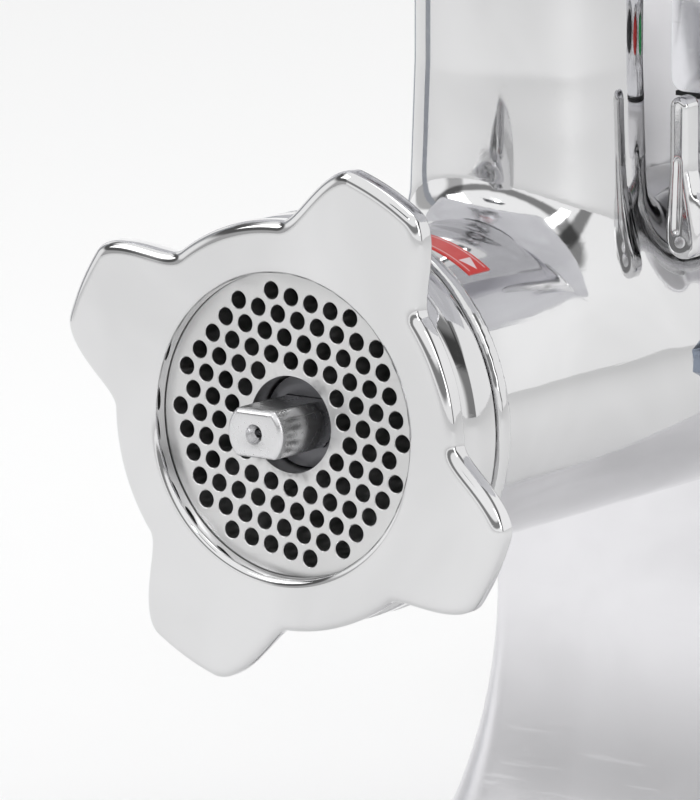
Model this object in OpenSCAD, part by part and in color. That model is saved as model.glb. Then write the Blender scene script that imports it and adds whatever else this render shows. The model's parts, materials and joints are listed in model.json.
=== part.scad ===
// Electric table-top meat grinder, size 22 head, polished aluminium body.
// Millimetres. +X right, +Y from the hole plate to the rear, +Z up.
// The origin is the centre of the footprint, on the table.
// Most modules are written about the auger axis, with Y = 0 on the hole plate's front face.

/* [Hole plate and knife] */
// Diameter of the hole plate
plate_d = 82; // [70:1:98]
// Thickness of the hole plate
plate_t = 10; // [8:0.5:12]
// Diameter of one plate hole
plate_hole_d = 4.4; // [3:0.1:5]
// Distance between neighbouring plate holes
plate_pitch = 6; // [5.6:0.1:6.4]
// Turn of the hole grid about the plate axis, in degrees
plate_grid_turn = -11; // [-30:1:30]
// Diameter of the plate's centre bore
plate_bore_d = 24; // [22:0.5:26]
// Tip radius of the knife
knife_r = 36; // [30:0.5:36.5]
// Angle of the first knife arm, in degrees
knife_turn = 40; // [0:1:89]

/* [Ring nut] */
// Diameter of the ring nut's opening
ring_open_d = 76; // [66:1:78]
// Radius of the lobe tips
ring_lobe_r = 68.5; // [64:0.5:76]
// Thickness of the lobed flange
ring_flange_t = 6.5; // [5:0.5:9]
// Wall of the ring nut's skirt
ring_skirt_wall = 5.5; // [4:0.5:8]
// Angle of the first lobe, in degrees
ring_turn = 64; // [0:1:89]

/* [Grinding head] */
// Bore of the barrel that the auger turns in
barrel_bore_d = 70; // [64:1:72]
// Wall of the barrel
barrel_wall = 5.7; // [5:0.1:8]
// Distance from the hole plate's front face to the body's front wall
head_l = 185; // [183:1:225]
// Distance from the hole plate's front face to the neck's axis
neck_y = 104; // [90:1:112]
// Bore of the feed neck
neck_bore_d = 51; // [44:1:54]
// Wall of the feed neck
neck_wall = 4; // [3:0.5:6]
// Height of the neck's mouth above the auger axis
neck_top = 118; // [110:1:160]

/* [Auger] */
// Radius of the auger's core
auger_core_r = 14; // [12:0.5:18]
// Pitch of the auger's flight
auger_pitch = 42; // [34:1:50]
// Diameter of the front stud
stud_d = 16.4; // [14:0.2:18]
// Width across the stud's flats
stud_flats = 12; // [10:0.2:13]
// Length of the stud in front of the hole plate
stud_out = 15.5; // [8:0.5:25]

/* [Head clamps] */
// Sideways distance of a clamp screw from the auger axis
clamp_x = 41.3; // [40:0.1:48]
// Height of a clamp screw above the auger axis
clamp_z = 40; // [36:0.5:44]
// Diameter of a clamp screw
clamp_screw_d = 9.6; // [8:0.2:11]
// Distance from the hole plate's front face to the clamp lever's front face
clamp_y = 110; // [108:1:130]
// Height of the lever's free end above the clamp screw
lever_l = 28; // [20:1:40]

/* [Body] */
// Height of the auger axis above the table
axis_h = 178; // [160:1:240]
// Half width of the body above the flare
body_half_w = 67; // [65:1:85]
// Length of the body above the flare, from front wall to rear cover
body_l = 235; // [225:1:280]
// Height of the body's top above the auger axis
body_top = 96; // [92:1:108]
// Wall of the body casting
body_wall = 7; // [5:0.5:7.5]
// Radius of the body's upright corners
body_corner_r = 6; // [5:1:14]
// Radius of the body's top edges
body_top_r = 12; // [4:1:16]
// Radius of the arc by which the pedestal flares out
flare_r = 150; // [110:5:200]
// Height of the rubber feet
foot_h = 13; // [8:1:20]

/* [Gears] */
// Module of the output gear pair
out_module = 2.5; // [2.5:0.1:2.6]
// Teeth of the output gear
out_teeth = 43; // [41:1:43]
// Teeth of the intermediate pinion
mid_pinion_teeth = 15; // [13:1:16]
// Module of the motor gear pair
in_module = 1.5; // [1.4:0.05:1.5]
// Teeth of the intermediate gear
mid_gear_teeth = 52; // [48:1:53]
// Teeth of the motor pinion
motor_pinion_teeth = 16; // [14:1:18]

/* [Motor] */
// Outer radius of the motor's frame
motor_r = 58; // [48:1:58.5]
// Length of the stator core
stator_l = 60; // [40:1:64]

/* [Tray and pusher] */
// Half width of the feed tray
tray_half_w = 140; // [100:1:170]
// Length of the feed tray
tray_l = 240; // [190:1:300]
// Depth of the feed tray
tray_depth = 45; // [25:1:60]
// Radius of the pusher's stem
pusher_r = 24; // [20:0.5:24.5]
// Height of the pusher
pusher_h = 150; // [110:1:190]

/* [Controls] */
// Width of the control box
control_w = 60; // [56:1:60]
// Height of the control box
control_h = 31; // [28:1:32]
// Depth of the control box in front of the body's wall
control_d = 20; // [16:1:26]
// Diameter of a push button
button_d = 10; // [8:0.5:10.5]
// Travel of a push button
button_travel = 3; // [2:0.5:3.5]

/* [Hidden] */
$fn = 64;
eps = 0.01;

// Fits
plate_clear = 0.15;
run_clear = 0.08;
bearing_fit = 0.04;
turn_gap = 0.3;
auger_clear = 0.6;

// Head: radii and stations along the auger axis
seat_r = plate_d / 2 + plate_clear;
thread_wall = 4;
ring_lip_t = 4.2;
thread_r = seat_r + thread_wall;
ring_in_r = thread_r + 0.35;
ring_skirt_r = ring_in_r + ring_skirt_wall;
ring_waist_r = ring_skirt_r + 0.4;
ring_front = -turn_gap - ring_lip_t;
ring_rear = 15.6;
head_front = 1;
bead_y0 = ring_rear + 1.9;
bead_y1 = bead_y0 + 4.9;
barrel_bore_r = barrel_bore_d / 2;
barrel_r = barrel_bore_r + barrel_wall;
chamber_r = min(knife_r + 2, seat_r - 2);
chamber_y1 = plate_t + 14;
neck_bore_r = neck_bore_d / 2;
neck_step_z = 42;
neck_step = 0.5;
neck_r = neck_bore_r + neck_wall;
journal_r = 15;
bush_r = 19;
rear_wall_y = head_l - 27;
socket_bore_r = 24;
spigot_r = 38;
spigot_l = 7.5;
spigot_clear = 0.2;
ear_t = 12;
ear_r = 9;
ear_web = 7.5;

// Auger
auger_r = barrel_bore_r - auger_clear;
auger_front = plate_t + 10;
auger_rear = rear_wall_y - 3;
flight_y0 = chamber_y1 + 1;
flight_y1 = auger_rear - 6;
flight_t = 5;
flight_steps = 30;
tang_w = 18;
tang_y1 = head_l + 7;

// Knife
knife_gap = 0.2;
knife_front = plate_t + knife_gap;
knife_arm_t = 5.5;
knife_hub_r = 15;
knife_collar_r = plate_bore_d / 2 - 0.5;
knife_collar_front = plate_t - 3.5;

// Output shaft and gear train stations along Y
wall_y0 = head_l;
wall_y1 = wall_y0 + 10;
socket_end = wall_y0 - 11;
seal_y0 = wall_y0 + 8;
out_bearing_y = wall_y0 + 15;
out_bearing_w = 16;
gear2_y = wall_y0 + 34;
gear2_w = 20;
plate2_y = gear2_y + gear2_w + 4;
plate2_t = 8;
gear1_y = plate2_y + plate2_t + 5;
gear1_w = 12;
cover_y = gear1_y + gear1_w + 9;
cover_t = 8;
case_y1 = cover_y + cover_t;
out_pitch_r = out_module * out_teeth / 2;
out_centres = out_module * (out_teeth + mid_pinion_teeth) / 2;
in_centres = in_module * (mid_gear_teeth + motor_pinion_teeth) / 2;
mid_x = 12;
mid_z = -sqrt(out_centres * out_centres - mid_x * mid_x);
motor_z = mid_z + sqrt(in_centres * in_centres - mid_x * mid_x);
mid_angle = atan2(mid_z, mid_x);
motor_angle = atan2(motor_z - mid_z, -mid_x);
pressure_angle = 25;

// Motor stations along Y
motor_y0 = case_y1;
stator_y0 = motor_y0 + 18;
stator_y1 = stator_y0 + stator_l;
end_shield_y = stator_y1 + 16;
end_shield_t = 8;
motor_y1 = end_shield_y + end_shield_t;
fan_y = motor_y1 + 4;
fan_w = 12;
motor_wall = 3;
stator_r = motor_r - motor_wall;
rotor_r = stator_r - 20;
motor_shaft_r = 8;

// Body
body_y1 = wall_y0 + body_l;
deck_z = -92;
deck_t = 6;
sump_z = -114;
sump_wall = 6;
flare_z = -80;
base_z = foot_h - axis_h;
sheet_t = 1.5;
cap_l = 8;
flare_levels = 8;
corner_steps = 8;
function flare_out(z) =
    z >= flare_z ? 0 : flare_r - sqrt(flare_r * flare_r - pow(flare_z - z, 2));
base_out = flare_out(base_z);
rear_y = body_y1 + base_out;
front_y = -stud_out;
mid_y = (front_y + rear_y) / 2;
body_mid_y = (wall_y0 + body_y1) / 2;

// Controls
control_x0 = 3;
control_z0 = 62;
control_seal_t = 1.2;
shelf_t = 15;
button_pitch = 16;
button_out = 6;
button_z = control_z0 + control_h / 2;
function button_x(i) = control_x0 + control_w - 9 - (2 - i) * button_pitch;

// Tray and pusher
tray_t = 1.2;
tray_corner_r = 30;
tray_y0 = neck_y - 90;
tray_collar_l = 18;
tray_rim = 6;
pusher_x = 72;
pusher_y = neck_y + 90;
pusher_z0 = neck_top + tray_t + turn_gap;

module place() translate([0, -mid_y, axis_h]) children();

// An outline in X and Z, extruded from y0 to y1
module along_y(y0, y1)
    translate([0, y1, 0]) rotate([90, 0, 0]) linear_extrude(y1 - y0) children();

// A round bar on a line parallel to Y
module bar_y(r, y0, y1, x = 0, z = 0)
    translate([x, y1, z]) rotate([90, 0, 0]) cylinder(r = r, h = y1 - y0);

// A cone on the auger axis, radius r0 at y0 and r1 at y1
module cone_y(r0, r1, y0, y1)
    translate([0, y1, 0]) rotate([90, 0, 0]) cylinder(r1 = r1, r2 = r0, h = y1 - y0);

module tube_y(r_out, r_in, y0, y1, x = 0, z = 0)
    difference() {
        bar_y(r_out, y0, y1, x, z);
        bar_y(r_in, y0 - 1, y1 + 1, x, z);
    }

module rounded_rect(w, h, r)
    union() {
        square([w - 2 * r, h], center = true);
        square([w, h - 2 * r], center = true);
        for (sx = [-1, 1], sy = [-1, 1])
            translate([sx * (w / 2 - r), sy * (h / 2 - r)]) circle(r);
    }

// Involute gear outline; phase in degrees turns a tooth to that angle
function inv_angle(a) = tan(a) * 180 / PI - a;
module gear_outline(module_mm, teeth, phase) {
    pitch_r = module_mm * teeth / 2;
    base_r = pitch_r * cos(pressure_angle);
    root_r = pitch_r - 1.2 * module_mm;
    tip_r = pitch_r + 0.95 * module_mm;
    half = 90 / teeth * 0.93;
    low_r = max(base_r, root_r);
    function flank(r) = half + inv_angle(pressure_angle) - inv_angle(acos(min(1, base_r / r)));
    radii = [root_r, low_r + 0.02, pitch_r, tip_r];
    polygon([for (t = [0:teeth - 1])
        for (p = [for (k = [0:3]) [-flank(max(low_r, radii[k])), radii[k]],
                  for (k = [3:-1:0]) [flank(max(low_r, radii[k])), radii[k]]])
            let (a = phase + t * 360 / teeth + p[0])
                [p[1] * cos(a), p[1] * sin(a)]]);
}

// Lobed outline of the ring nut: waist plus four lobes with nearly flat tips
lobe_flat = 8;
lobe_end = 27;
function lobe_share(d) =
    let (t = max(0, min(1, (lobe_end - d) / (lobe_end - lobe_flat)))) t * t * (3 - 2 * t);
function lobe_distance(a) = let (m = (((a - ring_turn) % 90) + 90) % 90) min(m, 90 - m);
function ring_outline_r(a) =
    ring_waist_r + (ring_lobe_r - ring_waist_r) * lobe_share(lobe_distance(a));
module ring_outline()
    polygon([for (a = [0:2.5:357.5]) [ring_outline_r(a) * cos(a), ring_outline_r(a) * sin(a)]]);

// A closed solid through a stack of outlines that all have the same number of points
module loft(rings) {
    n = len(rings[0]);
    m = len(rings);
    sides = [for (j = [0:m - 2]) for (i = [0:n - 1])
        let (k = (i + 1) % n, low = j * n, high = (j + 1) * n)
            each [[low + i, high + i, high + k], [low + i, high + k, low + k]]];
    polyhedron(points = [for (ring = rings) each ring],
        faces = concat([[for (i = [0:n - 1]) i]],
            [[for (i = [n - 1:-1:0]) (m - 1) * n + i]], sides), convexity = 4);
}

function corner_ring(half_x, half_y, r, z) =
    [for (c = [0:3]) for (k = [0:corner_steps])
        let (a = 90 * c + 90 * k / corner_steps,
             cx = (c == 0 || c == 3 ? 1 : -1) * (half_x - r),
             cy = (c < 2 ? 1 : -1) * (half_y - r))
            [cx + r * cos(a), body_mid_y + cy + r * sin(a), z]];

// The flared pedestal from height z0 up to z1, shrunk by inset
function pedestal_ring(z, inset) =
    corner_ring(body_half_w + flare_out(z) - inset, body_l / 2 + flare_out(z) - inset,
        max(2, body_corner_r + flare_out(z) - inset), z);
module pedestal(z0, z1, inset)
    loft([for (i = [0:flare_levels]) pedestal_ring(z0 + (z1 - z0) * i / flare_levels, inset)]);

// The upper body: arched front view with rounded upright corners, shrunk by inset
module body_block(y0, y1, z0, inset)
    intersection() {
        along_y(y0, y1)
            union() {
                half = body_half_w - inset;
                top = body_top - inset;
                r = max(2, body_top_r - inset);
                translate([-half, z0]) square([2 * half, top - r - z0]);
                translate([-half + r, z0]) square([2 * (half - r), top - z0]);
                for (s = [-1, 1]) translate([s * (half - r), top - r]) circle(r);
            }
        translate([0, body_mid_y, z0 - 1])
            linear_extrude(body_top - z0 + 2)
                rounded_rect(2 * (body_half_w - inset), body_l - 2 * inset,
                    max(2, body_corner_r - inset));
    }

module ball_bearing(r_out, r_in, y0, w, x = 0, z = 0)
    union() {
        ring_t = (r_out - r_in) * 0.28;
        shield = 1;
        tube_y(r_out, r_out - ring_t, y0, y0 + w, x, z);
        tube_y(r_in + ring_t, r_in + bearing_fit, y0, y0 + w, x, z);
        tube_y(r_out - ring_t, r_in + ring_t, y0 + shield, y0 + w - shield, x, z);
    }

module screw_y(x, y, z, head_r, r, l)
    union() {
        bar_y(head_r, y, y + 3, x, z);
        bar_y(r, y - l, y, x, z);
    }

// Grinding head -------------------------------------------------------------------------------

// A clamp ear with its web, seen from the front
module ear_outline(s)
    union() {
        reach = norm([clamp_x, clamp_z]);
        translate([s * clamp_x, clamp_z]) circle(ear_r);
        rotate([0, 0, s > 0 ? atan2(clamp_z, clamp_x) : 180 - atan2(clamp_z, clamp_x)])
            translate([30, -ear_web]) square([reach - 30, 2 * ear_web]);
    }

module grinding_head()
    color("gainsboro") place()
    difference() {
        union() {
            bar_y(thread_r, head_front, bead_y0);
            bar_y(ring_skirt_r, bead_y0, bead_y1);
            cone_y(thread_r, barrel_r, bead_y1, bead_y1 + 8);
            bar_y(barrel_r, bead_y1, head_l);
            bar_y(spigot_r, head_l - 1, head_l + spigot_l);
            translate([0, neck_y, 0]) cylinder(r = neck_r, h = neck_top);
            for (s = [-1, 1])
                along_y(head_l - ear_t, head_l - 0.4) ear_outline(s);
        }
        bar_y(seat_r, head_front - 1, plate_t);
        bar_y(chamber_r, plate_t - eps, chamber_y1);
        bar_y(barrel_bore_r, chamber_y1 - eps, rear_wall_y);
        bar_y(bush_r, rear_wall_y - 1, rear_wall_y + 14);
        bar_y(socket_bore_r, rear_wall_y + 14 - eps, head_l + spigot_l + 1);
        translate([0, neck_y, 0]) cylinder(r = neck_bore_r - neck_step, h = neck_top);
        translate([0, neck_y, neck_step_z]) cylinder(r = neck_bore_r, h = neck_top);
        plate_key_shape(0);
        side_plug_thread();
        for (s = [-1, 1])
            bar_y(clamp_screw_d / 2 + run_clear, head_l - ear_t - 1, head_l + 1, s * clamp_x, clamp_z);
    }

module rear_bushing()
    color("darkgoldenrod") place()
        tube_y(bush_r, journal_r + run_clear, rear_wall_y, rear_wall_y + 14);

module ring_nut()
    color("gainsboro") place()
    difference() {
        union() {
            along_y(ring_front, ring_front + ring_flange_t) ring_outline();
            bar_y(ring_skirt_r, ring_front + 1, ring_rear);
        }
        bar_y(ring_open_d / 2, ring_front - 1, 1);
        bar_y(ring_in_r, -turn_gap, ring_rear + 1);
    }

// Grid points whose squared distance, in pitches, lies between the two limits carry a hole
grid_min = 7;
grid_max = 31;
module hole_plate()
    color("lightgray") place()
    difference() {
        bar_y(plate_d / 2, 0, plate_t);
        bar_y(plate_bore_d / 2, -1, plate_t + 1);
        for (i = [-6:6], j = [-6:6])
            let (d = i * i + i * j + j * j, a = plate_grid_turn,
                 u = plate_pitch * (i + j / 2), v = plate_pitch * j * sqrt(3) / 2)
                if (d >= grid_min && d <= grid_max)
                    bar_y(plate_hole_d / 2, -1, plate_t + 1,
                        u * cos(a) - v * sin(a), u * sin(a) + v * cos(a));
        plate_key_shape(0.1);
    }

key_r = 2.5;
module plate_key_shape(gap)
    bar_y(key_r + gap, 1.5 - gap, plate_t + 3, 0, -seat_r - 0.3);
module plate_key()
    color("dimgray") place() plate_key_shape(0);

module knife()
    color("silver") place()
    difference() {
        union() {
            bar_y(knife_hub_r, knife_front, auger_front);
            bar_y(knife_collar_r, knife_collar_front, knife_front + 1);
            for (k = [0:3])
                rotate([0, -knife_turn - 90 * k, 0])
                    along_y(knife_front, knife_front + knife_arm_t)
                        polygon([[0, -7], [knife_r * 0.55, -6], [knife_r, -1], [knife_r, 4],
                            [knife_r * 0.5, 5], [0, 7]]);
        }
        stud_shape(knife_collar_front - 1, auger_front + 1, 0.12);
    }

// The stud's section: a round bar with two flats, above and below
module stud_shape(y0, y1, gap)
    intersection() {
        bar_y(stud_d / 2 + gap, y0, y1);
        translate([-stud_d, y0 - 1, -stud_flats / 2 - gap])
            cube([2 * stud_d, y1 - y0 + 2, stud_flats + 2 * gap]);
    }

stud_depth = 40;
centre_hole_r = 2.2;
module auger_stud()
    color("silver") place()
    difference() {
        union() {
            stud_shape(-stud_out, auger_front, 0);
            bar_y(stud_d / 2, auger_front, auger_front + stud_depth);
        }
        bar_y(centre_hole_r, -stud_out - 1, -stud_out + 4);
        bar_y(centre_hole_r * 0.6, -stud_out, -stud_out + 9);
    }

// Right-handed flight as one closed ribbon around the core
function flight_ring(i, n) =
    let (y = flight_y0 + (flight_y1 - flight_t - flight_y0) * i / n,
         a = 360 * (y - flight_y0) / auger_pitch, r0 = auger_core_r - 2, tip = flight_t * 0.3)
        [[r0 * sin(a), y + flight_t, r0 * cos(a)],
         [auger_r * sin(a), y + flight_t - tip, auger_r * cos(a)],
         [auger_r * sin(a), y + tip, auger_r * cos(a)], [r0 * sin(a), y, r0 * cos(a)]];
module auger()
    color("lightgray") place()
    difference() {
        union() {
            bar_y(auger_core_r, auger_front, flight_y1);
            let (n = round(flight_steps * (flight_y1 - flight_y0) / auger_pitch))
                loft([for (i = [0:n]) flight_ring(i, n)]);
            bar_y(auger_r, flight_y1 - 1, auger_rear);
            bar_y(journal_r, auger_rear - 1, rear_wall_y + 14);
            along_y(rear_wall_y + 13, tang_y1) square(tang_w, center = true);
        }
        bar_y(stud_d / 2, auger_front - 1, auger_front + stud_depth);
    }

module thrust_washer()
    color("white") place()
        tube_y(journal_r + 8, journal_r + 0.1, auger_rear, rear_wall_y - turn_gap);

arrow_y0 = 43.5;
arrow_w = 9;
arrow_t = 0.3;
arrow_start = 55;
arrow_sweep = 50;
module rotation_arrow()
    color("firebrick") place()
        translate([0, arrow_y0 + arrow_w, 0]) rotate([90, 0, 0]) rotate([0, 0, arrow_start])
            rotate_extrude(angle = arrow_sweep)
                translate([barrel_r, 0]) square([arrow_t, arrow_w]);

plug_y = 134;
plug_z = 1;
plug_r = 4;
plug_depth = 4;
module side_plug_thread()
    translate([barrel_r - plug_depth, plug_y, plug_z]) rotate([0, 90, 0])
        cylinder(r = plug_r, h = plug_depth + 3);
module side_plug()
    color("slategray") place()
    union() {
        side_plug_thread();
        translate([barrel_r + 0.05, plug_y, plug_z]) rotate([0, 90, 0])
            cylinder(r = 7.5, h = 6.2, $fn = 6);
    }

// Head clamps: side is 1 on the right and -1 on the left ---------------------------------------

lever_t = 7;
lever_boss = 5;
clamp_collar_y = head_l - ear_t - turn_gap;
clamp_collar_l = 6;
// The left lever sits close to its ear, behind the neck
left_clamp_y = clamp_collar_y - clamp_collar_l - lever_boss - lever_t - 5;
function lever_y(side) = side > 0 ? clamp_y : left_clamp_y;
module clamp_lever(side)
    color("gainsboro") place()
    mirror([side > 0 ? 0 : 1, 0, 0])
    difference() {
        union() {
            along_y(lever_y(side), lever_y(side) + lever_t)
                translate([clamp_x, clamp_z]) union() {
                    circle(6);
                    translate([0.6, -6]) circle(5);
                    translate([-0.4, lever_l]) circle(2.8);
                    polygon([[-4.4, -6], [5.6, -6], [6, 1], [2.4, 9], [2.4, lever_l],
                        [-3.2, lever_l], [-3.8, 10]]);
                }
            bar_y(7, lever_y(side) + lever_t - 1, lever_y(side) + lever_t + lever_boss,
                clamp_x, clamp_z);
        }
        bar_y(clamp_screw_d / 2 - 1.5, lever_y(side) + 2, lever_y(side) + 20, clamp_x, clamp_z);
        lever_pin_shape(side);
    }

module lever_pin_shape(side)
    bar_y(1.5, lever_y(side) - 0.4, lever_y(side) + lever_t, clamp_x + 0.6, clamp_z - 6);
module lever_pin(side)
    color("dimgray") place() mirror([side > 0 ? 0 : 1, 0, 0]) lever_pin_shape(side);

module clamp_screw(side)
    color("silver") place()
    mirror([side > 0 ? 0 : 1, 0, 0]) union() {
        boss_y = lever_y(side) + lever_t + lever_boss;
        bar_y(clamp_screw_d / 2 - 1.5, lever_y(side) + 2, boss_y + 1, clamp_x, clamp_z);
        bar_y(clamp_screw_d / 2, boss_y, wall_y0 + 14, clamp_x, clamp_z);
        bar_y(8, clamp_collar_y - clamp_collar_l, clamp_collar_y, clamp_x, clamp_z);
    }

// Body ------------------------------------------------------------------------------------------

boss_r = 41;

// The casting's outer wall, deck and open front chamber, before bosses and bores
module body_shell()
    union() {
        difference() {
            union() {
                body_block(wall_y0, case_y1, deck_z + deck_t - 1, 0);
                pedestal(base_z, deck_z + deck_t, 0);
            }
            body_block(wall_y1, case_y1 + 1, deck_z + deck_t, body_wall);
            pedestal(base_z - 1, deck_z, body_wall - 1);
        }
        gear_sump();
    }

module gear_sump()
    intersection() {
        translate([-body_half_w + body_wall - sump_wall, wall_y0 - 30, sump_z - sump_wall])
            cube([2 * (body_half_w - body_wall + sump_wall), case_y1 - wall_y0 + 30,
                deck_z - sump_z + sump_wall + 1]);
        pedestal(base_z, deck_z + deck_t, 1);
    }

// The ledge under the control box, relieved round the clamp's ear
module control_shelf()
    difference() {
        translate([control_x0, wall_y0 - control_d, control_z0 - control_seal_t - shelf_t])
            cube([control_w, control_d + 1, shelf_t]);
        bar_y(ear_r + 1, wall_y0 - control_d - 1, wall_y0, clamp_x, clamp_z);
    }

module body_casting()
    color("gainsboro") place()
    difference() {
        union() {
            difference() {
                body_shell();
                body_block(wall_y1, case_y1, sump_z, body_wall);
            }
            control_shelf();
            bar_y(boss_r, wall_y0 + 5, out_bearing_y + out_bearing_w);
            bar_y(mid_bearing_r + 3, wall_y1 - 1, mid_bearing_y + mid_bearing_w, mid_x, mid_z);
            for (s = [-1, 1])
                bar_y(8, wall_y1 - 1, wall_y0 + 16, s * clamp_x, clamp_z);
            for (p = plate2_posts)
                bar_y(6, wall_y1 - 1, plate2_y, p[0], p[1]);
            for (p = cover_posts)
                bar_y(5, wall_y1 - 1, cover_y, p[0], p[1]);
        }
        bar_y(spigot_r + spigot_clear, wall_y0 - 1, seal_y0);
        bar_y(seal_r, seal_y0 - eps, seal_y0 + seal_w);
        bar_y(socket_r + 2, seal_y0, out_bearing_y + 1);
        bar_y(out_bearing_r, out_bearing_y, out_bearing_y + out_bearing_w + 1);
        bar_y(mid_bearing_r, mid_bearing_y, mid_bearing_y + mid_bearing_w + 1, mid_x, mid_z);
        for (s = [-1, 1])
            bar_y(clamp_screw_d / 2 + run_clear, wall_y0 - 1, wall_y0 + 15, s * clamp_x, clamp_z);
        for (p = plate2_posts)
            bar_y(2.5, plate2_y - 12, plate2_y + 1, p[0], p[1]);
        for (p = cover_posts)
            bar_y(2, cover_y - 12, cover_y + 1, p[0], p[1]);
        translate([control_x0 + control_w / 2, wall_y0 - 1, button_z]) rotate([-90, 0, 0])
            cylinder(r = 6, h = 14);
    }

// Drive -----------------------------------------------------------------------------------------

socket_r = 17;
seal_r = 24;
seal_w = 6;
out_bearing_r = 31;
out_journal_r = 15;
out_rear_bearing_r = 21;
out_rear_journal_r = 10;
out_rear_bearing_w = 12;
gear_seat_r = 14;
mid_shaft_r = 9;
mid_bearing_r = 17;
mid_bearing_y = wall_y1 + 3;
mid_bearing_w = 11;
plate2_half_w = body_half_w - body_wall - 1.5;
plate2_posts = [[-48, 48], [48, 56], [-48, -62]];

module output_shaft()
    color("silver") place()
    difference() {
        union() {
            bar_y(socket_r, socket_end, out_bearing_y);
            bar_y(out_journal_r, out_bearing_y - 1, gear2_y);
            bar_y(gear_seat_r, gear2_y - 1, plate2_y - 2);
            bar_y(out_rear_journal_r, plate2_y - 3, plate2_y - 2 + out_rear_bearing_w);
        }
        along_y(socket_end - 1, tang_y1 + 1) square(tang_w + 0.3, center = true);
        output_key_shape();
    }

key_w = 8;
key_h = 7;
module output_key_shape()
    translate([-key_w / 2, gear2_y + 1, gear_seat_r - key_h / 2])
        cube([key_w, gear2_w - 2, key_h]);
module output_key() color("dimgray") place() output_key_shape();

module output_gear()
    color("slategray") place()
    difference() {
        union() {
            along_y(gear2_y, gear2_y + gear2_w)
                difference() {
                    gear_outline(out_module, out_teeth, mid_angle);
                    circle(gear_seat_r);
                }
        }
        tube_y(out_pitch_r - 8, gear_seat_r + 9, gear2_y - 1, gear2_y + 5);
        tube_y(out_pitch_r - 8, gear_seat_r + 9, gear2_y + gear2_w - 5, gear2_y + gear2_w + 1);
        output_key_shape();
    }

module shaft_seal()
    color([0.12, 0.12, 0.12]) place()
        tube_y(seal_r, socket_r + run_clear, seal_y0, seal_y0 + seal_w);

module output_bearings()
    color("silver") place() {
        ball_bearing(out_bearing_r, out_journal_r, out_bearing_y, out_bearing_w);
        ball_bearing(out_rear_bearing_r, out_rear_journal_r, plate2_y - 2, out_rear_bearing_w);
    }

module intermediate_shaft()
    color("silver") place()
    union() {
        bar_y(mid_shaft_r, mid_bearing_y, cover_y + 6, mid_x, mid_z);
        bar_y(mid_shaft_r + 3, mid_bearing_y + mid_bearing_w, gear2_y - 1, mid_x, mid_z);
    }

module intermediate_pinion()
    color("slategray") place()
        translate([mid_x, 0, mid_z])
            along_y(gear2_y - 1, gear2_y + gear2_w + 1)
                difference() {
                    gear_outline(out_module, mid_pinion_teeth,
                        mid_angle + 180 + 180 / mid_pinion_teeth);
                    circle(mid_shaft_r);
                }

module intermediate_gear()
    color("slategray") place()
        translate([mid_x, 0, mid_z])
            along_y(gear1_y, gear1_y + gear1_w)
                difference() {
                    gear_outline(in_module, mid_gear_teeth, motor_angle);
                    circle(mid_shaft_r);
                }

module intermediate_bearings()
    color("silver") place() {
        ball_bearing(mid_bearing_r, mid_shaft_r, mid_bearing_y, mid_bearing_w, mid_x, mid_z);
        ball_bearing(mid_bearing_r, mid_shaft_r, cover_y - 5, mid_bearing_w, mid_x, mid_z);
    }

module plate_outline(y0, y1, half_w, z0, z1)
    translate([-half_w, y0, z0]) cube([2 * half_w, y1 - y0, z1 - z0]);

module bearing_plate()
    color("darkgray") place()
    difference() {
        union() {
            plate_outline(plate2_y, plate2_y + plate2_t, plate2_half_w, deck_z + deck_t + 3, 64);
            bar_y(out_rear_bearing_r + 6, plate2_y - 2, plate2_y + plate2_t + 3);
        }
        bar_y(out_rear_bearing_r, plate2_y - 3, plate2_y + 20);
        bar_y(mid_shaft_r + 5, plate2_y - 1, plate2_y + 20, mid_x, mid_z);
        for (p = plate2_posts)
            bar_y(2.6, plate2_y - 1, plate2_y + plate2_t + 1, p[0], p[1]);
    }

module bearing_plate_screws()
    color("silver") place()
        for (p = plate2_posts)
            screw_y(p[0], plate2_y + plate2_t, p[1], 4.5, 2.5, plate2_t + 10);

cover_posts = [for (sx = [-1, 1]) for (z = [sump_z + 8, body_top - 16]) [sx * 50, z]];
module gearcase_cover()
    color("darkgray") place()
    difference() {
        union() {
            body_block(cover_y, case_y1, sump_z, body_wall);
            bar_y(mid_bearing_r + 4, cover_y - 5, case_y1, mid_x, mid_z);
            bar_y(motor_bearing_r + 5, cover_y, case_y1 + 8, 0, motor_z);
        }
        bar_y(mid_bearing_r, cover_y - 6, cover_y + 6, mid_x, mid_z);
        bar_y(motor_bearing_r, cover_y + 3, case_y1 + 9, 0, motor_z);
        bar_y(motor_shaft_r + 2, cover_y - 1, cover_y + 4, 0, motor_z);
        for (p = cover_posts)
            bar_y(2, cover_y - 1, case_y1 + 1, p[0], p[1]);
    }

module gearcase_screws()
    color("silver") place()
        for (p = cover_posts)
            screw_y(p[0], case_y1, p[1], 4, 2, cover_t + 10);

// Motor -----------------------------------------------------------------------------------------

motor_bearing_r = 16;
motor_bearing_w = 11;
module motor_pinion()
    color("slategray") place()
        translate([0, 0, motor_z])
            along_y(gear1_y, gear1_y + gear1_w + 1)
                difference() {
                    gear_outline(in_module, motor_pinion_teeth,
                        motor_angle + 180 + 180 / motor_pinion_teeth);
                    circle(pinion_bore_r);
                }

pinion_bore_r = 6;
module motor_shaft()
    color("silver") place()
    union() {
        bar_y(pinion_bore_r, gear1_y - 1, cover_y, 0, motor_z);
        bar_y(motor_shaft_r, cover_y - 1, fan_y + fan_w, 0, motor_z);
    }

module motor_rotor()
    color("dimgray") place()
        tube_y(rotor_r, motor_shaft_r, stator_y0, stator_y1, 0, motor_z);

module motor_stator()
    color("darkslategray") place()
        tube_y(stator_r, rotor_r + 0.5, stator_y0, stator_y1, 0, motor_z);

module motor_windings()
    color("chocolate") place()
        for (y = [stator_y0 - 11, stator_y1])
            tube_y(stator_r - 5, rotor_r + 3, y, y + 11, 0, motor_z);

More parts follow.
